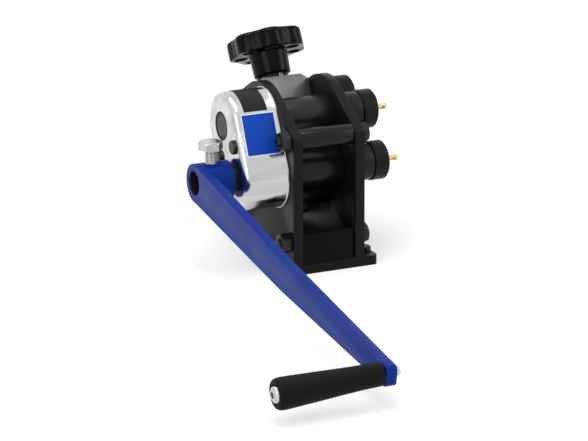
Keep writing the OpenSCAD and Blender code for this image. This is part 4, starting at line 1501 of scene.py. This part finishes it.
@dataclass
class Adjuster:
    """Screw with its collars and nut, and the lobed knob.

    The knob's heights count from the screw's reach. Its lobes are round, its valleys shallower and
    blended into them. The hub's foot drops round the lock collar, which sits in a recess of the hub.
    """

    reach: float = 111.0
    hub_height: float = 21.0
    hub_low: float = 19.0
    hub_drop: float = 2.4
    hub_top: float = 19.75
    insert_hole: float = 12.1
    insert_depth: float = 3.0
    recess_gap: float = 0.5
    rim_height: float = 20.0
    knob: float = 40.0
    lobes: int = 7
    lobe_steps: int = 40
    lobe: float = 13.0
    valley: float = 3.6
    blend: float = 2.6
    edge: float = 4.5
    crown: float = 14.0
    crown_ease: float = 1.5
    pocket: float = 7.5
    pocket_out: float = 1.4
    pocket_depth: float = 13.0
    plug: float = 13.9
    plug_top: float = 1.5
    plug_edge: float = 0.6
    screw: float = 16.0
    screw_core: float = 6.3
    screw_low: float = 8.0
    screw_tail: float = 11.0
    pitch: float = 4.0
    collar: float = 15.5
    collar_height: float = 7.4
    collar_bevel: float = 0.8
    grub: float = 1.8
    grub_height: float = 2.3
    grub_turn: float = -82.0

    def rim_radius(self, angle: float, radius: float) -> float:
        """Returns the lobed rim's radius at an angle.

        Args:
            angle: angle round the knob, in radians.
            radius: radius over the lobes at this level.

        Returns:
            Radius with lobes and rounded valleys.
        """
        step = 2 * math.pi / self.lobes
        own = (angle + step / 2) % step - step / 2
        centre = self.knob - self.lobe
        reach = self.lobe**2 - (centre * math.sin(own)) ** 2
        crest = centre * math.cos(own) + math.sqrt(reach) if reach > 0 else 0.0
        floor = self.knob - self.valley
        share = max(0.0, min(1.0, 0.5 + (crest - floor) / (2 * self.blend)))
        mixed = crest * share + floor * (1 - share) + self.blend * share * (1 - share)
        return min(mixed, self.knob) - (self.knob - radius)

    def crown_radius(self, angle: float, radius: float) -> float:
        """Returns the top's radius at an angle, lobed at its edge and round at the plug.

        Args:
            angle: angle round the knob, in radians.
            radius: radius over the lobes at this level.

        Returns:
            Radius that fades from the lobed rim to a circle.
        """
        fade = (radius - self.crown) / (self.knob - self.edge - self.crown)
        share = max(0.0, min(1.0, fade)) ** self.crown_ease
        return radius + (self.rim_radius(angle, radius) - radius) * share

    def rim_rows(self, form: Form) -> list[list[Vertex]]:
        """Adds the lobed rim and the crown with its rim step.

        Args:
            form: the knob in the making.

        Returns:
            Its rings from the rim's foot to the middle of the crown.
        """
        foot, top = self.hub_height, self.hub_height + self.rim_height
        outer = [(self.knob - 1.0, foot), (self.knob - 0.3, foot + 0.3), (self.knob, foot + 1.0)]
        outer += [(self.knob, foot + self.rim_height * s) for s in (0.3, 0.5)]
        outer += arc((self.knob - self.edge, top - self.edge), self.edge, 0, 90)
        crown = [(self.knob - self.edge - 4.0, top)]
        crown += [(self.crown + 0.6, top - 0.2), (self.crown + 0.2, top - 1.0)]
        rows = []
        for shape, profile in ((self.rim_radius, outer), (self.crown_radius, crown)):
            for radius, z in profile:
                ring = [(shape(a, radius), a) for a in turns(self.lobes * self.lobe_steps)]
                rows.append([form.bm.verts.new((r * math.cos(a), r * math.sin(a), z)) for r, a in ring])
        rows.append(form.ring(0.0, top - 1.0, 1))
        return rows

    def hub_rows(self, form: Form) -> list[list[Vertex]]:
        """Adds the hub with the recess for the lock collar and the insert's seat.

        Args:
            form: the knob in the making.

        Returns:
            Its rings from the rim's underside to the middle of the seat.
        """
        foot, low, recess = self.hub_height, -self.hub_drop, self.collar + self.recess_gap
        side = [(self.hub_top + 1.2, foot), (self.hub_top + 0.3, foot - 0.5), (self.hub_top, foot - 1.6)]
        edge = [(self.hub_low, low + 1.2), (self.hub_low - 0.9, low + 0.3), (self.hub_low - 2.0, low)]
        inside = [(recess, low), (recess, 0.1), (self.insert_hole, 0.1)]
        seat = [(self.insert_hole, self.insert_depth), (0.0, self.insert_depth)]
        return [form.ring(radius, z, 96) for radius, z in (*side, *edge, *inside, *seat)]

    def pocket_rings(self, form: Form, angle: float) -> list[Vertex]:
        """Adds the pocket under a lobe.

        Args:
            form: the knob in the making.
            angle: the lobe's angle in radians.

        Returns:
            The pocket's border on the rim's underside.
        """
        away, foot = self.knob - self.lobe + self.pocket_out, self.hub_height
        deep = foot + self.pocket_depth
        centre = (away * math.cos(angle), away * math.sin(angle))
        steps = ((0.0, foot), (0.5, foot + 0.6), (0.9, deep - 1.5), (2.4, deep))
        levels = [form.ring(self.pocket - shrink, z, 32, centre) for shrink, z in steps]
        form.skinned(levels)
        form.bm.faces.new(levels[-1])
        return levels[0]

    def knob_form(self) -> Form:
        """Builds the moulded knob: hub, underside with pockets, lobed rim and crown with its rim step.

        Returns:
            The closed knob on local Z.
        """
        form = Form()
        rim, hub = self.rim_rows(form), self.hub_rows(form)
        form.skinned(rim)
        form.skinned(hub)
        pockets = [self.pocket_rings(form, angle) for angle in turns(self.lobes)]
        form.filled(rim[0], hub[0], *pockets)
        form.faced()
        return form

    def plug_form(self) -> Form:
        """Builds the round plug in the knob's crown.

        Returns:
            The plug on local Z.
        """
        bend = self.plug_top - self.plug_edge
        side = [(0.0, -self.plug_top), (self.plug, -self.plug_top), (self.plug, bend)]
        edge = arc((self.plug - self.plug_edge, bend), self.plug_edge, 0, 90, 4)
        return Form.turned([*side, *edge, (0.0, self.plug_top)])

    def screw_form(self, shop: Workshop) -> Form:
        """Builds the threaded screw on its plain core.

        Args:
            shop: shared geometry trees.

        Returns:
            The screw on local Z.
        """
        length, core = self.reach - self.screw_low, self.screw_core
        profile = [(0.0, -self.screw_tail), (core, -self.screw_tail), (core, length), (0.0, length)]
        return Form.turned(profile, 48).joined(shop.thread.form(self.screw, length, self.pitch, OILED_SCREW))

    def collar_form(self) -> Form:
        """Builds the lock collar, just below the knob's insert.

        Returns:
            The collar on local Z.
        """
        low, r, top = -self.collar_height, self.collar, -0.1
        foot = [(0.0, low), (r - self.collar_bevel, low), (r, self.collar_bevel + low)]
        return Form.turned([*foot, (r, top), (0.0, top)])

    def grub_form(self) -> Form:
        """Builds the small screw in the lock collar's side.

        Returns:
            The screw in its place.
        """
        r = self.grub
        body = [(0.0, 0.0), (r - 0.4, 0.0), (r, 0.4), (r, 1.9)]
        socket = [(1.1, 2.1), (0.9, 1.0), (0.0, 1.0)]
        level = LAYOUT.on_screw(self.reach - self.collar_height + self.grub_height)
        side = Matrix.Rotation(math.radians(self.grub_turn), 4, "Z")
        facing = side @ Matrix.Rotation(math.radians(90), 4, "Y")
        place = level @ facing @ Matrix.Translation((0, 0, self.collar - r))
        return Form.turned([*body, *socket], 32).placed(place)

    def build(self, shop: Workshop) -> list[bpy.types.Object]:
        """Builds the knob, the threaded screw and the collars.

        Args:
            shop: shared geometry trees.

        Returns:
            The pieces.
        """
        stand = LAYOUT.on_screw(self.reach)
        crown = stand @ Matrix.Translation((0, 0, self.hub_height + self.rim_height))
        screw = self.screw_form(shop).placed(LAYOUT.on_screw(self.screw_low))
        collar = self.collar_form().placed(stand)
        body = Body.ADJUSTER
        return [
            piece(self.knob_form().placed(stand), "knob_moulded", PHENOLIC, body, ["knob"], smooth=38),
            piece(self.plug_form().placed(crown), "knob_plug_moulded", PHENOLIC, body, ["knob_plug"]),
            dressed("knob_insert", "knob_insert_turned", BLACK_OXIDE, body, 0.4),
            piece(screw, "adjuster_thread", OILED_SCREW, body, ["adjuster_screw"]),
            piece(collar, "lock_collar_turned", POWDER_COAT, body, ["lock_collar"], 0.2),
            piece(self.grub_form(), "lock_collar_grub_screw", BRIGHT_ZINC, body),
            dressed("thrust_collar", "thrust_collar_turned", BLACK_OXIDE, body, 0.4),
            dressed("retaining_nut", "retaining_nut_faced", BLACK_OXIDE, body, 0.3),
        ]


@dataclass
class CarriageBlock:
    """Milled carriage with sloping upper corners, and its guides."""

    width: float = 57.4
    depth: float = 45.0
    foot: float = 61.0
    top: float = 103.2
    slope_width: float = 7.6
    slope_height: float = 6.0
    bore: float = 8.15
    edge: float = 0.7
    guide_edge: float = 0.4

    def block(self) -> Form:
        """Builds the block round the screw's bore.

        Returns:
            The closed block, its foot at zero height.
        """
        half, height = self.width / 2, self.top - self.foot
        low, in_from = height - self.slope_height, half - self.slope_width
        outline = [(-half, 0.0), (half, 0.0), (half, low)]
        outline += [(in_from, height), (-in_from, height), (-half, low)]
        form, ends = Form(), (-self.depth / 2, self.depth / 2)
        front, rear = ([form.bm.verts.new((x, y, z)) for x, z in outline] for y in ends)
        bore = [form.ring(self.bore, z, 48) for z in (0.0, height)]
        form.bm.faces.new(front)
        form.bm.faces.new(rear)
        for k in (1, 2, 4, 5):
            j = (k + 1) % len(outline)
            form.bm.faces.new((front[k], front[j], rear[j], rear[k]))
        form.skinned(bore)
        for k, ring in zip((0, 3), bore):
            form.filled([front[k], front[k + 1], rear[k + 1], rear[k]], ring)
        form.faced()
        return form

    def build(self, shop: Workshop) -> list[bpy.types.Object]:
        """Builds the carriage's pieces.

        Args:
            shop: shared geometry trees; not used here.

        Returns:
            The pieces.
        """
        block = self.block().placed(LAYOUT.on_screw(self.foot))
        return [
            piece(block, "carriage_milled", BLUED_BLOCK, Body.CARRIAGE, ["carriage"], self.edge),
            dressed("carriage_guides", "carriage_guide_blocks", BLACK_OXIDE, Body.CARRIAGE, self.guide_edge),
        ]


@dataclass
class Crank:
    """Blue crank arm and boss with the set bolt, and the bare lining of the arm's eye."""

    arm_edge: float = 1.6
    boss_edge: float = 1.2
    bolt_thread: float = 12.0
    bolt_pitch: float = 1.75
    bolt_across: float = 22.0
    bolt_head: float = 8.0
    bolt_turn: float = 18.0
    bore: float = 12.45
    lining: float = 0.25
    lining_start: float = 0.9
    lining_slope: float = 0.2
    lining_gap: float = 0.05

    def set_bolt(self, shop: Workshop) -> Form:
        """Builds the set bolt.

        Args:
            shop: shared geometry trees.

        Returns:
            The bolt in its place.
        """
        low, high = box("set_bolt")
        length = high.z - self.bolt_head - low.z
        shank = shop.thread.rod(self.bolt_thread, length, self.bolt_pitch, BRIGHT_ZINC)
        turned = Matrix.Rotation(math.radians(self.bolt_turn), 4, "Z")
        head = HexForm(self.bolt_across, self.bolt_head).form()
        head.placed(Matrix.Translation((0, 0, length)) @ turned)
        foot = Matrix.Translation(((low.x + high.x) / 2, (low.y + high.y) / 2, low.z))
        return shank.joined(head).placed(foot)

    def eye_lining(self) -> Form:
        """Builds the thin bare lining of the arm's eye, from just inside its mouth to the shaft.

        Returns:
            The closed lining in its place.
        """
        mouth = box("crank_arm")[0].x
        start, end = self.lining_start, box("lower_shaft")[0].x - mouth - self.lining_gap
        outer, inner = self.bore, self.bore - self.lining
        wall = [(outer, start), (outer, end), (inner, end), (inner, start + self.lining_slope)]
        form = Form.turned([*wall, wall[0]], 72)
        bmesh.ops.remove_doubles(form.bm, verts=form.bm.verts, dist=POLE)
        form.faced()
        return form.placed(LAYOUT.rightward(mouth, LAYOUT.lower.y, LAYOUT.lower.z))

    def build(self, shop: Workshop) -> list[bpy.types.Object]:
        """Builds the crank.

        Args:
            shop: shared geometry trees.

        Returns:
            The pieces.
        """
        return [
            dressed("crank_arm", "crank_arm_coated", BLUE_COAT, Body.CRANK, self.arm_edge, steps=4),
            dressed("crank_boss", "crank_boss_coated", BLUE_COAT, Body.CRANK, self.boss_edge),
            piece(self.set_bolt(shop), "set_bolt_zinc", BRIGHT_ZINC, Body.CRANK, ["set_bolt"]),
            # The eye's lining is painted near-black as shade inside the bore
            piece(self.eye_lining(), "crank_bore_bare", SHADED_BORE_STEEL, Body.CRANK),
        ]


@dataclass
class Handle:
    """Moulded grip on its spindle, with washer, end screw and the spindle's end inside the arm.

    shares gives the grip's radius at shares of its length: waist at the arm, swell and rolled end.
    """

    length: float = 100.0
    outer: float = 14.5
    inner: float = 11.0
    gap: float = 2.68
    seat: float = 8.6
    seat_depth: float = 3.6
    bore: float = 6.2
    skirt: float = 9.4
    arm: float = 10.0
    stud: float = 4.8
    stud_tip_share: float = 0.7
    stud_bevel: float = 1.4
    stud_reach: float = 7.0
    overlap: float = 0.5
    shares: tuple[Point, ...] = (
        (0.02, 1.0), (0.1, 1.0), (0.2, 1.015), (0.3, 1.05), (0.4, 1.09), (0.5, 1.135), (0.6, 1.18),
        (0.7, 1.22), (0.8, 1.26), (0.88, 1.29), (0.93, 1.3), (0.962, 1.285), (0.985, 1.23),
        (0.996, 1.15), (1.0, 1.05),
    )

    def grip(self) -> Form:
        """Builds the grip with its skirt over the washer and its stepped bore.

        Returns:
            The closed grip on local Z.
        """
        swell = (self.outer - self.inner) / (max(share for _, share in self.shares) - 1)
        outside = [(self.inner + (share - 1) * swell, at * self.length) for at, share in self.shares]
        skirt = [(0.0, 0.6), (self.skirt, 0.6), (self.skirt, -1.7)]
        skirt += [(self.skirt + 0.8, -1.9), (self.skirt + 1.3, -1.2)]
        seat, floor = self.seat, self.length - self.seat_depth
        mouth = [(seat + 0.3, self.length - 0.4), (seat, self.length - 1.2), (seat, floor)]
        bore = [(self.bore, floor), (self.bore, 0.6), (0.0, 0.6)]
        return Form.turned([*skirt, *outside, *mouth, *bore])

    def spindle(self) -> Form:
        """Copies the spindle and adds its end, which sticks out of the arm's inner side.

        Returns:
            The spindle in its place.
        """
        end, inside = -self.arm - self.stud_reach, self.overlap - self.arm
        tip = [(0.0, end), (self.stud * self.stud_tip_share, end), (self.stud, end + self.stud_bevel)]
        stud = Form.turned([*tip, (self.stud, inside), (0.0, inside)], 48)
        return Form.copied("handle_spindle").joined(stud.placed(LAYOUT.on_spindle(0.0)))

    def build(self, shop: Workshop) -> list[bpy.types.Object]:
        """Builds the grip and its hardware.

        Args:
            shop: shared geometry trees; not used here.

        Returns:
            The pieces.
        """
        grip = self.grip().placed(LAYOUT.on_spindle(self.gap))
        return [
            piece(grip, "grip_moulded", GRIP_RUBBER, Body.GRIP, ["handle_grip"], smooth=50),
            dressed("end_screw", "end_screw_zinc", BRIGHT_ZINC, Body.CRANK, 0.35, smooth=28),
            dressed("grip_washer", "grip_washer_zinc", BRIGHT_ZINC, Body.CRANK, 0.2),
            piece(self.spindle(), "handle_spindle_zinc", BRIGHT_ZINC, Body.CRANK, ["handle_spindle"], 0.4),
        ]


# ---------------------------------------------------------------- studio


WHITE = linear("#ffffff")


def backdrop_rays(tree: bpy.types.NodeTree) -> bpy.types.NodeSocket:
    """Marks the rays that see the backdrop itself: the camera's, and those through mirrors and glass.

    Args:
        tree: node tree of the backdrop.

    Returns:
        The socket that is 1 for such a ray and 0 for others.
    """
    ray = add(tree, "ShaderNodeLightPath").outputs
    pair = {0: ray["Is Camera Ray"], 1: ray["Is Glossy Ray"]}
    seen = add(tree, "ShaderNodeMath", pair, operation="MAXIMUM").outputs[0]
    both = {0: seen, 1: ray["Is Transmission Ray"]}
    return add(tree, "ShaderNodeMath", both, operation="MAXIMUM").outputs[0]


@dataclass(frozen=True)
class Lamp:
    """A soft lamp aimed at a point, lengths in metres."""

    name: str
    place: Triple
    size: Point
    power: float
    aim: Triple = (0.0, 0.0, 0.1)

    def light(self) -> bpy.types.Object:
        """Creates the lamp.

        Returns:
            The lamp in the scene.
        """
        data = bpy.data.lights.new(self.name, "AREA")
        data.shape = "RECTANGLE"
        data.size, data.size_y = self.size
        data.energy = self.power
        obj = bpy.data.objects.new(self.name, data)
        bpy.context.scene.collection.objects.link(obj)
        obj.location = self.place
        ahead = Vector(self.aim) - Vector(self.place)
        obj.rotation_euler = ahead.to_track_quat("-Z", "Y").to_euler()
        return obj


@dataclass
class Studio:
    """White sweep, soft lamps and plain world.

    floor_share is how much of the floor glows by itself where it is seen, which keeps its shadow pale.
    """

    floor_size: float = 14.0
    floor_share: float = 0.5
    world_level: float = 0.55
    lamps: tuple[Lamp, ...] = (
        Lamp("overhead", (-0.3, -0.1, 1.8), (1.7, 1.0), 20.0),
        Lamp("front_left_panel", (-1.7, -1.3, 0.9), (1.0, 1.4), 11.0),
        Lamp("right_panel", (1.5, -0.9, 0.9), (0.7, 1.2), 9.0),
    )

    def floor_material(self) -> bpy.types.Material:
        """Builds a floor that the camera and reflections see as white, with the object's shadow on it.

        Returns:
            The floor's material.
        """
        made = bpy.data.materials.new("white_sweep")
        made.use_nodes = True
        tree = made.node_tree
        tree.nodes.clear()
        seen = backdrop_rays(tree)
        share = add(tree, "ShaderNodeMath", {0: seen, 1: self.floor_share}, operation="MULTIPLY")
        paper = add(tree, "ShaderNodeBsdfDiffuse", {"Color": WHITE, "Roughness": 1.0})
        glow = add(tree, "ShaderNodeEmission", {"Color": WHITE, "Strength": 1.0})
        mixed = {0: share.outputs[0], 1: paper.outputs[0], 2: glow.outputs[0]}
        surface = add(tree, "ShaderNodeMixShader", mixed).outputs[0]
        add(tree, "ShaderNodeOutputMaterial", {"Surface": surface})
        return made

    def build(self) -> None:
        """Creates the floor, lamps and world."""
        half = self.floor_size / 2
        mesh = bpy.data.meshes.new("floor")
        corners = [(-half, -half, 0), (half, -half, 0), (half, half, 0), (-half, half, 0)]
        mesh.from_pydata(corners, [], [(0, 1, 2, 3)])
        floor = bpy.data.objects.new("floor", mesh)
        bpy.context.scene.collection.objects.link(floor)
        floor.data.materials.append(self.floor_material())
        for lamp in self.lamps:
            lamp.light()
        world = bpy.data.worlds.new("plain_white")
        bpy.context.scene.world = world
        world.use_nodes = True
        tree = world.node_tree
        tree.nodes.clear()
        seen = backdrop_rays(tree)
        level = add(tree, "ShaderNodeMapRange", {"Value": seen, "To Min": self.world_level, "To Max": 1.0})
        sky = add(tree, "ShaderNodeBackground", {"Color": WHITE, "Strength": level.outputs[0]})
        add(tree, "ShaderNodeOutputWorld", {"Surface": sky.outputs[0]})


@dataclass
class PhotoCamera:
    """Camera fitted to the photograph.

    Angles are in degrees and the picture's sizes in pixels. The anchor and the clip range are in metres,
    the sensor's width in millimetres. A pixel is a millimetre wide at the anchor.
    """

    width: float = 588.0
    height: float = 441.0
    focal_px: float = 3000.0
    azimuth: float = -25.0
    elevation: float = 16.8
    roll: float = -0.2
    anchor: Triple = (0.0, -0.075, 0.0)
    anchor_px: Point = (329.5, 271.1)
    sensor: float = 36.0
    clip: Point = (0.1, 60.0)

    def build(self) -> bpy.types.Object:
        """Creates the camera so that the anchor falls on its pixel.

        Returns:
            The camera in the scene.
        """
        a, e, r = (math.radians(v) for v in (self.azimuth, self.elevation, self.roll))
        back = Vector((math.sin(a) * math.cos(e), -math.cos(a) * math.cos(e), math.sin(e)))
        level = Vector((math.cos(a), math.sin(a), 0.0))
        above = back.cross(level)
        right = level * math.cos(r) + above * math.sin(r)
        up = above * math.cos(r) - level * math.sin(r)
        dx = (self.anchor_px[0] - self.width / 2) * MM
        dy = (self.height / 2 - self.anchor_px[1]) * MM
        data = bpy.data.cameras.new("photo_camera")
        data.sensor_width = self.sensor
        data.lens = self.sensor * self.focal_px / self.width
        data.clip_start, data.clip_end = self.clip
        made = bpy.data.objects.new("photo_camera", data)
        bpy.context.scene.collection.objects.link(made)
        place = Vector(self.anchor) + back * self.focal_px * MM - right * dx - up * dy
        made.matrix_world = axes(place, right, up, back)
        bpy.context.scene.camera = made
        return made


def main() -> None:
    """Builds every sub-assembly, the studio and the camera."""
    logging.basicConfig(level=logging.INFO, format="%(name)s: %(message)s")
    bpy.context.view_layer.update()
    PhotoCamera().build()
    Studio().build()
    shop = Workshop()
    standing = (Stand(), TieBars(), GearCover(), RollerSet())
    moving = (Adjuster(), CarriageBlock(), Crank(), Handle())
    for assembly in (*standing, *moving):
        for made in assembly.build(shop):
            log.info("%s: %s, %d faces", type(assembly).__name__, made.name, len(made.data.polygons))
    bpy.context.scene.view_settings.view_transform = "Standard"


if __name__ == "__main__":
    main()
